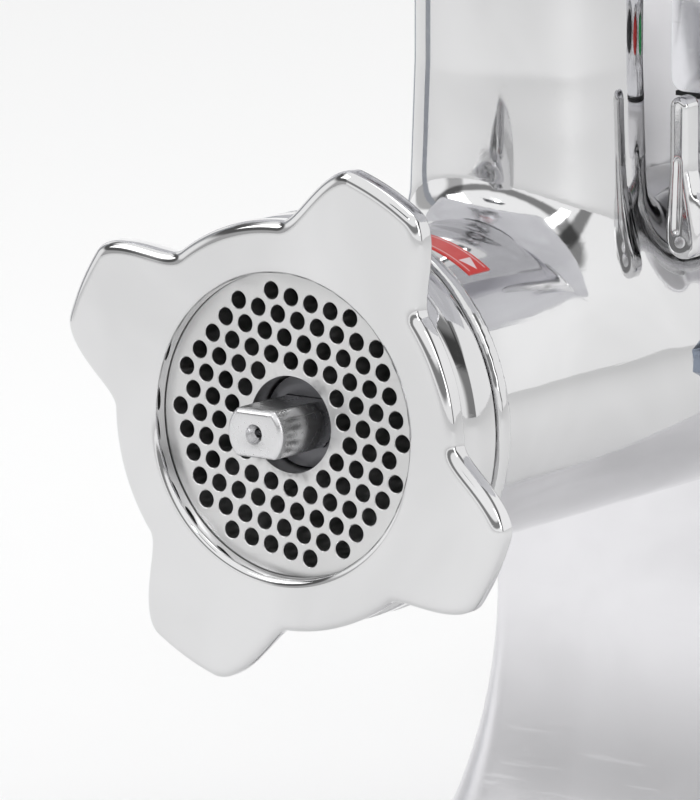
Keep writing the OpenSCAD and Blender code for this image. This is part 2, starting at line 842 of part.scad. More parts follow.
module motor_frame()
    color("darkgray") place()
        tube_y(motor_r, stator_r, motor_y0, end_shield_y, 0, motor_z);

module motor_end_shield()
    color("darkgray") place()
    difference() {
        union() {
            bar_y(motor_r, end_shield_y, motor_y1, 0, motor_z);
            bar_y(motor_bearing_r + 5, end_shield_y - 6, motor_y1, 0, motor_z);
        }
        bar_y(motor_bearing_r, end_shield_y - 7, end_shield_y + 5, 0, motor_z);
        bar_y(motor_shaft_r + 1, end_shield_y, motor_y1 + 1, 0, motor_z);
    }

module motor_bearings()
    color("silver") place() {
        ball_bearing(motor_bearing_r, motor_shaft_r, case_y1 - 5, motor_bearing_w, 0, motor_z);
        ball_bearing(motor_bearing_r, motor_shaft_r, end_shield_y - 6, motor_bearing_w, 0, motor_z);
    }

fan_blades = 9;
module cooling_fan()
    color([0.15, 0.15, 0.16]) place()
    difference() {
        union() {
            bar_y(16, fan_y, fan_y + fan_w, 0, motor_z);
            bar_y(motor_r - 8, fan_y, fan_y + 2, 0, motor_z);
            translate([0, fan_y + 1, motor_z])
                for (k = [0:fan_blades - 1])
                    rotate([0, k * 360 / fan_blades, 0])
                        translate([14, 0, -1]) cube([motor_r - 24, fan_w - 2, 2]);
        }
        bar_y(motor_shaft_r, fan_y - 1, fan_y + fan_w + 1, 0, motor_z);
    }

cap_r = 15;
cap_x = -28;
cap_z = body_top - 38;
cap_foot_z = motor_z + sqrt(motor_r * motor_r - cap_x * cap_x) - 1;
module start_capacitor()
    color("gray") place()
        bar_y(cap_r, stator_y0 - 6, stator_y0 + 64, cap_x, cap_z);
module capacitor_clip()
    color("silver") place()
    union() {
        tube_y(cap_r + 1.5, cap_r, stator_y0 + 20, stator_y0 + 32, cap_x, cap_z);
        translate([cap_x - 1, stator_y0 + 20, cap_foot_z])
            cube([2, 12, cap_z - cap_r - 1 - cap_foot_z]);
    }

// Covers ----------------------------------------------------------------------------------------

seal_t = 1;
shell_y0 = case_y1 + seal_t;
shell_y1 = body_y1 - cap_l;
vent_w = 3;
vent_l = 60;
module motor_cover()
    color("gainsboro") place()
    difference() {
        body_block(shell_y0, shell_y1, deck_z + deck_t, 0);
        body_block(shell_y0 - 1, shell_y1 + 1, deck_z + deck_t - 1, sheet_t);
        for (k = [0:7])
            translate([-body_half_w - 1, shell_y0 + 34 + k * 9, -60])
                cube([2 * body_half_w + 2, vent_w, vent_l]);
    }

module rear_cover()
    color("gainsboro") place()
    difference() {
        body_block(shell_y1, body_y1, deck_z + deck_t, 0);
        body_block(shell_y1 - 1, body_y1 - 2, deck_z + deck_t - 1, sheet_t);
        for (k = [0:8])
            translate([-38, body_y1 - 4, motor_z - 36 + k * 9])
                cube([76, 8, vent_w]);
        bar_y(gland_r, body_y1 - 6, body_y1 + 4, gland_x, gland_z);
    }

module cover_seal()
    color([0.1, 0.1, 0.1]) place()
    difference() {
        body_block(case_y1, shell_y0, deck_z + deck_t, 0.5);
        body_block(case_y1 - 1, shell_y0 + 1, deck_z + deck_t - 1, 4);
    }

cover_screw_points = [for (sx = [-1, 1]) for (z = [-78, 74]) [sx * 52, z]];
module cover_screws()
    color("silver") place()
        for (p = cover_screw_points)
            bar_y(4, body_y1, body_y1 + 2.4, p[0], p[1]);

base_plate_t = 2;
base_inset = body_wall;
// A foot keeps clear of the base's rounded corner however wide the flare is
foot_margin = 20;
base_corner_r = body_corner_r + base_out;
foot_inset = max(28, base_corner_r - (base_corner_r - foot_margin) / sqrt(2));
foot_points = [for (sx = [-1, 1])
    for (y = [wall_y0 - base_out + foot_inset, body_y1 + base_out - foot_inset])
        [sx * (body_half_w + base_out - foot_inset), y]];
module base_plate()
    color("silver") place()
    difference() {
        translate([0, body_mid_y, base_z])
            linear_extrude(base_plate_t)
                rounded_rect(2 * (body_half_w + flare_out(base_z + base_plate_t) - base_inset),
                    body_l + 2 * flare_out(base_z + base_plate_t) - 2 * base_inset,
                    body_corner_r + base_out - base_inset);
        for (p = foot_points) translate([p[0], p[1], base_z - 1]) cylinder(r = 2.6, h = 5);
    }

module base_screws()
    color("silver") place()
        for (p = foot_points)
            translate([p[0], p[1], base_z - 6]) union() {
                cylinder(r = 2.5, h = 12);
                translate([0, 0, 8]) cylinder(r = 5, h = 4);
            }

module rubber_feet()
    color([0.13, 0.13, 0.13]) place()
        for (p = foot_points)
            translate([p[0], p[1], -axis_h])
                difference() {
                    union() {
                        cylinder(r1 = 11, r2 = 13, h = foot_h - 3);
                        translate([0, 0, foot_h - 3]) cylinder(r = 13, h = 3);
                    }
                    translate([0, 0, foot_h - 6]) cylinder(r = 2.5, h = 7);
                    translate([0, 0, -1]) cylinder(r = 6, h = 4);
                }

// Controls --------------------------------------------------------------------------------------

control_y0 = wall_y0 - control_d;
control_mid = [control_x0 + control_w / 2, control_z0 + control_h / 2];
module control_block(inset, y0, y1)
    along_y(y0, y1)
        translate(control_mid) rounded_rect(control_w - 2 * inset, control_h - 2 * inset, 4 - inset);
module control_box()
    color("lavender") place()
    difference() {
        control_block(0, control_y0, wall_y0);
        control_block(sheet_t, control_y0 + sheet_t, wall_y0 + 1);
        for (i = [0:2])
            bar_y(button_d / 2 + 1.5, control_y0 - 1, control_y0 + 3, button_x(i), button_z);
        for (sx = [-1, 1])
            bar_y(1.6, control_y0 - 1, control_y0 + 3,
                control_mid[0] + sx * (control_w / 2 - 4), control_mid[1] + control_h / 2 - 4);
    }

module control_seal()
    color([0.08, 0.08, 0.08]) place()
        translate([control_x0 + 1, control_y0 + 0.5, control_z0 - control_seal_t])
            cube([control_w - 2, control_d - 0.5, control_seal_t]);

module control_screws()
    color("silver") place()
        for (sx = [-1, 1])
            let (x = control_mid[0] + sx * (control_w / 2 - 4),
                 z = control_mid[1] + control_h / 2 - 4)
                union() {
                    bar_y(2.8, control_y0 - 1.6, control_y0, x, z);
                    bar_y(1.5, control_y0 - 1, control_y0 + 5, x, z);
                }

module button_bezels()
    color("silver") place()
        for (i = [0:2])
            union() {
                tube_y(button_d / 2 + 2.6, button_d / 2 + turn_gap, control_y0 - 1.5, control_y0,
                    button_x(i), button_z);
                tube_y(button_d / 2 + 1.4, button_d / 2 + turn_gap, control_y0 - 1, control_y0 + 5,
                    button_x(i), button_z);
            }

module contact_blocks()
    color([0.2, 0.2, 0.22]) place()
        for (i = [0:2])
            translate([button_x(i) - 6, control_y0 + 12, button_z - 8]) cube([12, 6.5, 16]);

module button(i, paint)
    color(paint) place()
    union() {
        bar_y(button_d / 2, control_y0 - button_out, control_y0 + 5, button_x(i), button_z);
        bar_y(2.5, control_y0 + 4, control_y0 + 12 - button_travel - turn_gap, button_x(i), button_z);
    }

// Cable gland -----------------------------------------------------------------------------------

gland_x = 38;
gland_z = -74;
gland_r = 8;
gland_bore_r = 4;
gland_l = 22;
module cable_gland()
    color([0.12, 0.12, 0.12]) place()
    difference() {
        union() {
            bar_y(gland_r, body_y1 - 5, body_y1 + gland_l, gland_x, gland_z);
            translate([gland_x, body_y1 + 6, gland_z]) rotate([90, 0, 0])
                cylinder(r = 11, h = 6, $fn = 6);
        }
        bar_y(gland_bore_r, body_y1 - 6, body_y1 + gland_l + 1, gland_x, gland_z);
    }

// Tray and pusher -------------------------------------------------------------------------------

module tray_slab(inset, z0, z1)
    translate([0, tray_y0 + tray_l / 2, z0])
        linear_extrude(z1 - z0)
            rounded_rect(2 * (tray_half_w - inset), tray_l - 2 * inset, tray_corner_r - inset);
module feed_tray()
    color("whitesmoke") place()
    difference() {
        union() {
            tray_slab(tray_rim, neck_top, neck_top + tray_depth);
            tray_slab(0, neck_top + tray_depth - tray_t, neck_top + tray_depth);
            translate([0, neck_y, neck_top - tray_collar_l])
                cylinder(r = neck_r + turn_gap + 1.5, h = tray_collar_l + 1);
        }
        tray_slab(tray_rim + tray_t, neck_top + tray_t, neck_top + tray_depth + 1);
        translate([0, neck_y, neck_top - tray_collar_l - 1])
            cylinder(r = neck_r + turn_gap, h = tray_collar_l + 1);
        translate([0, neck_y, neck_top - 2]) cylinder(r = neck_bore_r + 0.5, h = 5);
    }

module pusher()
    color("white") place()
        translate([pusher_x, pusher_y, pusher_z0])
            rotate_extrude()
                union() {
                    square([pusher_r, pusher_h - 40]);
                    square([12, pusher_h - 12]);
                    translate([0, pusher_h - 24]) square([18, 20]);
                    translate([18, pusher_h - 14]) circle(10);
                }

grinding_head();
rear_bushing();
ring_nut();
hole_plate();
plate_key();
knife();
auger();
auger_stud();
thrust_washer();
rotation_arrow();
side_plug();
clamp_lever(1);  // clamp_lever_right
clamp_lever(-1);  // clamp_lever_left
clamp_screw(1);  // clamp_screw_right
clamp_screw(-1);  // clamp_screw_left
lever_pin(1);  // lever_pin_right
lever_pin(-1);  // lever_pin_left
body_casting();
output_shaft();
output_gear();
output_key();
shaft_seal();
output_bearings();
intermediate_shaft();
intermediate_gear();
intermediate_pinion();
intermediate_bearings();
bearing_plate();
bearing_plate_screws();
gearcase_cover();
gearcase_screws();
motor_pinion();
motor_shaft();
motor_rotor();
motor_stator();
motor_windings();
motor_frame();
motor_end_shield();
motor_bearings();
cooling_fan();
start_capacitor();
capacitor_clip();
motor_cover();
rear_cover();
cover_seal();
cover_screws();
base_plate();
base_screws();
rubber_feet();
control_box();
control_seal();
control_screws();
button_bezels();
contact_blocks();
button(0, "green");  // start_button
button(1, "red");  // stop_button
button(2, "dimgray");  // reverse_button
cable_gland();
feed_tray();
pusher();
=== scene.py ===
import json
import math
import bpy
import bmesh
import numpy as np
import openvdb
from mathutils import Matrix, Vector
from mathutils.geometry import delaunay_2d_cdt


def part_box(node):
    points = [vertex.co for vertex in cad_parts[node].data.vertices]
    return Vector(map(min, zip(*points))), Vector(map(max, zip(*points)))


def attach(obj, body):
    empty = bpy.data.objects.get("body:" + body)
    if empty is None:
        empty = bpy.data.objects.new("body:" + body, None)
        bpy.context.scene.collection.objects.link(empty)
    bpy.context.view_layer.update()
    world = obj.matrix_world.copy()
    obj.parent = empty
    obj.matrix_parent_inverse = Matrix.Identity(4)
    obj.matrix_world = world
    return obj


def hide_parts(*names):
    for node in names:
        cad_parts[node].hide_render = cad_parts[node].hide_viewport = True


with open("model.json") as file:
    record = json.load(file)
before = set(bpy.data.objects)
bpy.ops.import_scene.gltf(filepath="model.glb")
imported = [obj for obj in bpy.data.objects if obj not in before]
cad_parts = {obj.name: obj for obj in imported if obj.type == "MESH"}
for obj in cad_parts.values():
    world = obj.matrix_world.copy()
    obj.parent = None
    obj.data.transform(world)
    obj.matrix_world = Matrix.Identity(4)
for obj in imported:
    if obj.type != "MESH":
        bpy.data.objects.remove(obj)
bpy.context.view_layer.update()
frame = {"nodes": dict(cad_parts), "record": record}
nodes = frame["nodes"]
bodyOf = {n: b for b, members in frame["record"]["behaviour"]["bodies"].items() for n in members}
slotOf = {s["node"]: s["material_slot"] for s in frame["record"]["subparts"]}
scene = bpy.context.scene
mm = 0.001

# the head's own origin: middle of the hole plate's front face
plateLow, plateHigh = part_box("hole_plate")
headOrigin = np.array([0.0, plateLow.y, (plateLow.z + plateHigh.z) / 2])


def span(node):
    # a node's corners in millimetres about the head's origin
    low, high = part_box(node)
    return (np.array(low) - headOrigin) / mm, (np.array(high) - headOrigin) / mm


def toRow(points):
    return np.asarray(points, float) * mm + headOrigin


# ---- camera, floor and light

cameraLook = {
    "place": (1461.72, -2058.12, 481.32),
    "azimuth": 35.05,
    "elevation": 10.66,
    "lens": 471.2,
    "sensor": 36.0,
}


def makeCamera(look):
    a, e = math.radians(look["azimuth"]), math.radians(look["elevation"])
    back = Vector((math.sin(a) * math.cos(e), -math.cos(a) * math.cos(e), math.sin(e)))
    data = bpy.data.cameras.new("studioCamera")
    data.lens, data.sensor_width, data.sensor_fit = look["lens"], look["sensor"], "AUTO"
    data.clip_start, data.clip_end = 0.05, 100.0
    camera = bpy.data.objects.new("studioCamera", data)
    camera.location = toRow(look["place"])
    camera.rotation_mode = "QUATERNION"
    camera.rotation_quaternion = (-back).to_track_quat("-Z", "Y")
    scene.collection.objects.link(camera)
    scene.camera = camera


studio = {
    "floorSize": 60.0,
    "floorGrey": 0.90,
    "worldStrength": 1.15,
    "skyLow": 0.98,
    "skyHigh": 1.0,
    # soft lamps: place and aim in metres about the head, size, power
    "lamps": [
        {"name": "keyPanel", "at": (-1.6, -1.4, 2.0), "aim": (0, 0.1, 0), "size": (1.2, 1.2), "power": 12},
        {"name": "sidePanel", "at": (2.3, -0.5, 1.1), "aim": (0, 0.1, 0), "size": (0.5, 1.6), "power": 6},
        {"name": "topPanel", "at": (0.3, 0.4, 2.4), "aim": (0, 0.1, 0), "size": (1.6, 1.0), "power": 9},
        {"name": "sparkLamp", "at": (0.35, -1.5, 1.25), "aim": (0, 0.1, 0.05), "size": (0.12, 0.12), "power": 2.5},
    ],
    # dark curtains in the sky: each is a band of directions about the plane square to its normal
    "curtains": [
        {"normal": (0.55, 0.80, 0.10), "centre": 0.62, "half": 0.06, "soft": 0.05, "dark": 0.75},
        {"normal": (0.10, -0.35, 0.93), "centre": 0.52, "half": 0.06, "soft": 0.08, "dark": 0.75},
        {"normal": (-0.90, -0.30, 0.10), "centre": 0.86, "half": 0.06, "soft": 0.05, "dark": 0.55},
    ],
    # dark flags round the object, seen only in its reflections: degrees from the front towards the right
    "flags": [
        {"name": "leftFlag", "azimuth": -88, "far": 1.3, "halfLow": 0.11, "halfHigh": 0.11, "low": 0.0, "high": 1.2, "grey": 0.34},
        {"name": "rearFlag", "azimuth": -128, "far": 1.3, "halfLow": 0.09, "halfHigh": 0.09, "low": 0.0, "high": 1.0, "grey": 0.40},
        {"name": "highFlag", "azimuth": 8, "far": 1.1, "halfLow": 0.30, "halfHigh": 0.22, "low": 1.05, "high": 1.25, "grey": 0.08},
    ],
}


def makeFloor(look):
    mesh = bpy.data.meshes.new("studioFloor")
    h = look["floorSize"] / 2
    mesh.from_pydata([(-h, -h, 0), (h, -h, 0), (h, h, 0), (-h, h, 0)], [], [(0, 1, 2, 3)])
    floor = bpy.data.objects.new("studioFloor", mesh)
    scene.collection.objects.link(floor)
    paper = bpy.data.materials.new("whitePaper")
    paper.use_nodes = True
    shader = paper.node_tree.nodes["Principled BSDF"]
    grey = look["floorGrey"]
    shader.inputs["Base Color"].default_value = (grey, grey, grey, 1)
    shader.inputs["Roughness"].default_value = 0.9
    shader.inputs["Specular IOR Level"].default_value = 0.1
    mesh.materials.append(paper)


def makeLamps(look):
    for lamp in look["lamps"]:
        data = bpy.data.lights.new(lamp["name"], "AREA")
        data.shape = "RECTANGLE"
        data.size, data.size_y = lamp["size"]
        data.energy = lamp["power"]
        item = bpy.data.objects.new(lamp["name"], data)
        item.location = Vector(headOrigin) + Vector(lamp["at"])
        aim = Vector(headOrigin) + Vector(lamp["aim"]) - item.location
        item.rotation_mode = "QUATERNION"
        item.rotation_quaternion = aim.to_track_quat("-Z", "Y")
        scene.collection.objects.link(item)


def makeFlags(look):
    for flag in look["flags"]:
        a = math.radians(flag["azimuth"])
        out, across = Vector((math.sin(a), -math.cos(a), 0)), Vector((math.cos(a), math.sin(a), 0))
        foot = Vector((headOrigin[0], headOrigin[1] + 0.1, 0)) + out * flag["far"]
        corners = [foot + across * (s * flag[width]) + Vector((0, 0, flag[level]))
                   for s, width, level in ((-1, "halfLow", "low"), (1, "halfLow", "low"), (1, "halfHigh", "high"), (-1, "halfHigh", "high"))]
        mesh = bpy.data.meshes.new(flag["name"])
        mesh.from_pydata(corners, [], [(0, 1, 2, 3)])
        cloth = bpy.data.materials.new(flag["name"] + "Cloth")
        cloth.use_nodes = True
        shader = cloth.node_tree.nodes["Principled BSDF"]
        shader.inputs["Base Color"].default_value = (flag["grey"], flag["grey"] * 1.05, flag["grey"] * 1.15, 1)
        shader.inputs["Roughness"].default_value = 0.9
        mesh.materials.append(cloth)
        item = bpy.data.objects.new(flag["name"], mesh)
        item.visible_camera = item.visible_diffuse = item.visible_shadow = False
        scene.collection.objects.link(item)


def makeSky(look):
    world = bpy.data.worlds.new("studioSky")
    scene.world = world
    world.use_nodes = True
    tree = world.node_tree
    tree.nodes.clear()
    coord = tree.nodes.new("ShaderNodeTexCoord")
    split = tree.nodes.new("ShaderNodeSeparateXYZ")
    tree.links.new(coord.outputs["Generated"], split.inputs[0])
    rise = tree.nodes.new("ShaderNodeMapRange")
    rise.inputs["From Min"].default_value = 0.0
    rise.inputs["From Max"].default_value = 0.5
    rise.inputs["To Min"].default_value = look["skyLow"]
    rise.inputs["To Max"].default_value = look["skyHigh"]
    tree.links.new(split.outputs["Z"], rise.inputs["Value"])
    level = rise.outputs["Result"]
    for band in look["curtains"]:
        facing = tree.nodes.new("ShaderNodeVectorMath")
        facing.operation = "DOT_PRODUCT"
        facing.inputs[1].default_value = Vector(band["normal"]).normalized()
        tree.links.new(coord.outputs["Generated"], facing.inputs[0])
        offset = tree.nodes.new("ShaderNodeMath")
        offset.operation = "SUBTRACT"
        tree.links.new(facing.outputs["Value"], offset.inputs[0])
        offset.inputs[1].default_value = band["centre"]
        distance = tree.nodes.new("ShaderNodeMath")
        distance.operation = "ABSOLUTE"
        tree.links.new(offset.outputs[0], distance.inputs[0])
        shade = tree.nodes.new("ShaderNodeMapRange")
        shade.interpolation_type = "SMOOTHSTEP"
        shade.inputs["From Min"].default_value = band["half"]
        shade.inputs["From Max"].default_value = band["half"] + band["soft"]
        shade.inputs["To Min"].default_value = 1.0 - band["dark"]
        shade.inputs["To Max"].default_value = 1.0
        tree.links.new(distance.outputs[0], shade.inputs["Value"])
        product = tree.nodes.new("ShaderNodeMath")
        product.operation = "MULTIPLY"
        tree.links.new(level, product.inputs[0])
        tree.links.new(shade.outputs["Result"], product.inputs[1])
        level = product.outputs[0]
    glow = tree.nodes.new("ShaderNodeBackground")
    glow.inputs["Strength"].default_value = look["worldStrength"]
    tree.links.new(level, glow.inputs["Color"])
    out = tree.nodes.new("ShaderNodeOutputWorld")
    tree.links.new(glow.outputs[0], out.inputs["Surface"])


makeCamera(cameraLook)
makeFloor(studio)
makeLamps(studio)
makeSky(studio)
makeFlags(studio)
scene.view_settings.view_transform = "Standard"
print("camera, floor and light are in place")

# ---- shader groups, used by every finish


def newGroup(name, inputs, outputs):
    tree = bpy.data.node_groups.new(name, "ShaderNodeTree")
    for label, kind, value in inputs:
        socket = tree.interface.new_socket(label, in_out="INPUT", socket_type=kind)
        socket.default_value = value
    for label, kind in outputs:
        tree.interface.new_socket(label, in_out="OUTPUT", socket_type=kind)
    return tree, tree.nodes.new("NodeGroupInput"), tree.nodes.new("NodeGroupOutput")


def mathNode(tree, operation, a, b=None, clamp=False):
    node = tree.nodes.new("ShaderNodeMath")
    node.operation = operation
    node.use_clamp = clamp
    for slot, value in ((0, a), (1, b)):
        if value is None:
            continue
        if isinstance(value, (int, float)):
            node.inputs[slot].default_value = value
        else:
            tree.links.new(value, node.inputs[slot])
    return node.outputs[0]


def noiseNode(tree, vector, scale, detail=4.0, rough=0.55, distort=0.0):
    node = tree.nodes.new("ShaderNodeTexNoise")
    tree.links.new(vector, node.inputs["Vector"])
    if isinstance(scale, (int, float)):
        node.inputs["Scale"].default_value = scale
    else:
        tree.links.new(scale, node.inputs["Scale"])
    node.inputs["Detail"].default_value = detail
    node.inputs["Roughness"].default_value = rough
    node.inputs["Distortion"].default_value = distort
    return node.outputs["Fac"]


def rampNode(tree, value, low, high, toLow=0.0, toHigh=1.0):
    node = tree.nodes.new("ShaderNodeMapRange")
    node.interpolation_type = "SMOOTHSTEP"
    tree.links.new(value, node.inputs["Value"])
    for label, number in (("From Min", low), ("From Max", high), ("To Min", toLow), ("To Max", toHigh)):
        node.inputs[label].default_value = number
    return node.outputs["Result"]


def buildScratchGroup():
    # hairline scratches in two directions, stretched noise on the piece's own coordinates
    tree, given, out = newGroup(
        "hairlineScratches",
        [("Vector", "NodeSocketVector", (0, 0, 0)), ("Density", "NodeSocketFloat", 900.0)],
        [("Mask", "NodeSocketFloat"), ("Height", "NodeSocketFloat")],
    )
    parts = []
    for turn, stretch in (((0.3, 0.9, 0.2), (1.0, 0.03, 1.0)), ((1.1, 0.2, 0.7), (0.04, 1.0, 0.6))):
        place = tree.nodes.new("ShaderNodeMapping")
        place.inputs["Rotation"].default_value = turn
        place.inputs["Scale"].default_value = stretch
        tree.links.new(given.outputs["Vector"], place.inputs["Vector"])
        field = noiseNode(tree, place.outputs[0], given.outputs["Density"], 2.0, 0.5)
        parts.append(rampNode(tree, field, 0.62, 0.72))
    both = mathNode(tree, "MAXIMUM", parts[0], parts[1])
    tree.links.new(both, out.inputs["Mask"])
    tree.links.new(mathNode(tree, "MULTIPLY", both, -1.0), out.inputs["Height"])
    return tree


def buildSmudgeGroup():
    # finger marks and wipe marks: soft patches with finer streaks in them
    tree, given, out = newGroup(
        "handSmudges",
        [("Vector", "NodeSocketVector", (0, 0, 0)), ("Scale", "NodeSocketFloat", 18.0)],
        [("Mask", "NodeSocketFloat"), ("Tint", "NodeSocketFloat")],
    )
    broad = noiseNode(tree, given.outputs["Vector"], given.outputs["Scale"], 3.0, 0.5, 0.6)
    fine = noiseNode(tree, given.outputs["Vector"], mathNode(tree, "MULTIPLY", given.outputs["Scale"], 9.0), 5.0, 0.65, 0.3)
    patch = rampNode(tree, broad, 0.48, 0.68)
    tree.links.new(mathNode(tree, "MULTIPLY", patch, rampNode(tree, fine, 0.3, 0.75), True), out.inputs["Mask"])
    tree.links.new(broad, out.inputs["Tint"])
    return tree


def buildGrainGroup():
    # fine even grain, for rubber, moulded plastic and sand cast metal
    tree, given, out = newGroup(
        "fineGrain",
        [("Vector", "NodeSocketVector", (0, 0, 0)), ("Scale", "NodeSocketFloat", 1500.0)],
        [("Height", "NodeSocketFloat"), ("Shade", "NodeSocketFloat")],
    )
    grain = noiseNode(tree, given.outputs["Vector"], given.outputs["Scale"], 3.0, 0.6)
    broad = noiseNode(tree, given.outputs["Vector"], mathNode(tree, "MULTIPLY", given.outputs["Scale"], 0.02), 3.0, 0.5)
    tree.links.new(grain, out.inputs["Height"])
    tree.links.new(broad, out.inputs["Shade"])
    return tree


def buildTurnedGroup():
    # rings left by a lathe: depends on the distance along and from one axis
    tree, given, out = newGroup(
        "turnedRings",
        [("Vector", "NodeSocketVector", (0, 0, 0)), ("Pitch", "NodeSocketFloat", 1400.0)],
        [("Height", "NodeSocketFloat"), ("Shade", "NodeSocketFloat")],
    )
    split = tree.nodes.new("ShaderNodeSeparateXYZ")
    tree.links.new(given.outputs["Vector"], split.inputs[0])
    square = mathNode(tree, "ADD", mathNode(tree, "MULTIPLY", split.outputs["X"], split.outputs["X"]),
                      mathNode(tree, "MULTIPLY", split.outputs["Z"], split.outputs["Z"]))
    radius = mathNode(tree, "SQRT", square)
    along = mathNode(tree, "ADD", mathNode(tree, "MULTIPLY", radius, given.outputs["Pitch"]),
                     mathNode(tree, "MULTIPLY", split.outputs["Y"], given.outputs["Pitch"]))
    join = tree.nodes.new("ShaderNodeCombineXYZ")
    tree.links.new(along, join.inputs["X"])
    field = noiseNode(tree, join.outputs[0], 1.0, 3.0, 0.6)
    tree.links.new(field, out.inputs["Height"])
    tree.links.new(field, out.inputs["Shade"])
    return tree


scratchGroup = buildScratchGroup()
smudgeGroup = buildSmudgeGroup()
grainGroup = buildGrainGroup()
turnedGroup = buildTurnedGroup()

# ---- finishes, one entry for each material slot of the record

finishes = {
    "polished_casting": {"kind": "metal", "color": (0.68, 0.68, 0.685), "rough": 0.045, "smudge": 0.06, "scratch": 0.05,
                         "scratchDensity": 700, "wave": 0.9, "waveScale": 22, "bump": 0.02},
    "satin_casting": {"kind": "metal", "color": (0.82, 0.815, 0.835), "rough": 0.34, "smudge": 0.08, "scratch": 0.05,
                      "scratchDensity": 900, "grain": 1600, "bump": 0.02},
    "machined_steel": {"kind": "metal", "color": (0.66, 0.66, 0.67), "rough": 0.26, "smudge": 0.10, "scratch": 0.10,
                       "scratchDensity": 900, "turned": 1500, "bump": 0.012},
    "hardened_steel": {"kind": "metal", "color": (0.64, 0.64, 0.64), "rough": 0.30, "smudge": 0.10, "scratch": 0.12,
                       "scratchDensity": 1200, "bump": 0.04},
    "stainless_sheet": {"kind": "metal", "color": (0.74, 0.74, 0.77), "rough": 0.16, "smudge": 0.08, "scratch": 0.08,
                        "scratchDensity": 1500, "bump": 0.04},
    "gear_steel": {"kind": "metal", "color": (0.45, 0.46, 0.48), "rough": 0.30, "smudge": 0.15, "scratch": 0.10,
                   "scratchDensity": 800, "bump": 0.10},
    "bronze": {"kind": "metal", "color": (0.66, 0.44, 0.20), "rough": 0.30, "smudge": 0.15, "scratch": 0.10,
               "scratchDensity": 900, "turned": 1500, "bump": 0.10},
    "grey_casting": {"kind": "metal", "color": (0.60, 0.61, 0.62), "rough": 0.45, "smudge": 0.10, "scratch": 0.05,
                     "scratchDensity": 600, "grain": 900, "bump": 0.25},
    "core_steel": {"kind": "metal", "color": (0.24, 0.26, 0.29), "rough": 0.45, "smudge": 0.10, "scratch": 0.05,
                   "scratchDensity": 600, "turned": 2600, "bump": 0.25},
    "copper": {"kind": "metal", "color": (0.62, 0.28, 0.12), "rough": 0.30, "smudge": 0.10, "scratch": 0.05,
               "scratchDensity": 600, "turned": 2200, "bump": 0.35},
    "hex_steel": {"kind": "metal", "color": (0.36, 0.41, 0.50), "rough": 0.18, "smudge": 0.10, "scratch": 0.08,
                  "scratchDensity": 900, "bump": 0.05},
    "black_rubber": {"kind": "plain", "color": (0.025, 0.025, 0.027), "rough": 0.72, "smudge": 0.10, "scratch": 0.02,
                     "scratchDensity": 500, "grain": 2200, "bump": 0.25},
    "black_plastic": {"kind": "plain", "color": (0.03, 0.03, 0.033), "rough": 0.42, "smudge": 0.12, "scratch": 0.04,
                      "scratchDensity": 700, "grain": 2600, "bump": 0.12},
    "white_plastic": {"kind": "plain", "color": (0.86, 0.86, 0.84), "rough": 0.28, "smudge": 0.10, "scratch": 0.05,
                      "scratchDensity": 700, "grain": 1800, "bump": 0.04},
    "grey_plastic": {"kind": "plain", "color": (0.42, 0.43, 0.45), "rough": 0.40, "smudge": 0.10, "scratch": 0.05,
                     "scratchDensity": 700, "grain": 1800, "bump": 0.10},
    "green_plastic": {"kind": "plain", "color": (0.03, 0.38, 0.11), "rough": 0.25, "smudge": 0.10, "scratch": 0.05,
                      "scratchDensity": 700, "grain": 1800, "bump": 0.04},
    "red_plastic": {"kind": "plain", "color": (0.62, 0.03, 0.03), "rough": 0.25, "smudge": 0.10, "scratch": 0.05,
                    "scratchDensity": 700, "grain": 1800, "bump": 0.04},
    "red_label": {"kind": "plain", "color": (0.62, 0.04, 0.035), "rough": 0.38, "smudge": 0.08, "scratch": 0.04,
                  "scratchDensity": 700, "grain": 1500, "bump": 0.03},
}


def placeGroup(tree, group, coords, label, value):
    node = tree.nodes.new("ShaderNodeGroup")
    node.node_tree = group
    tree.links.new(coords, node.inputs["Vector"])
    node.inputs[label].default_value = value
    return node


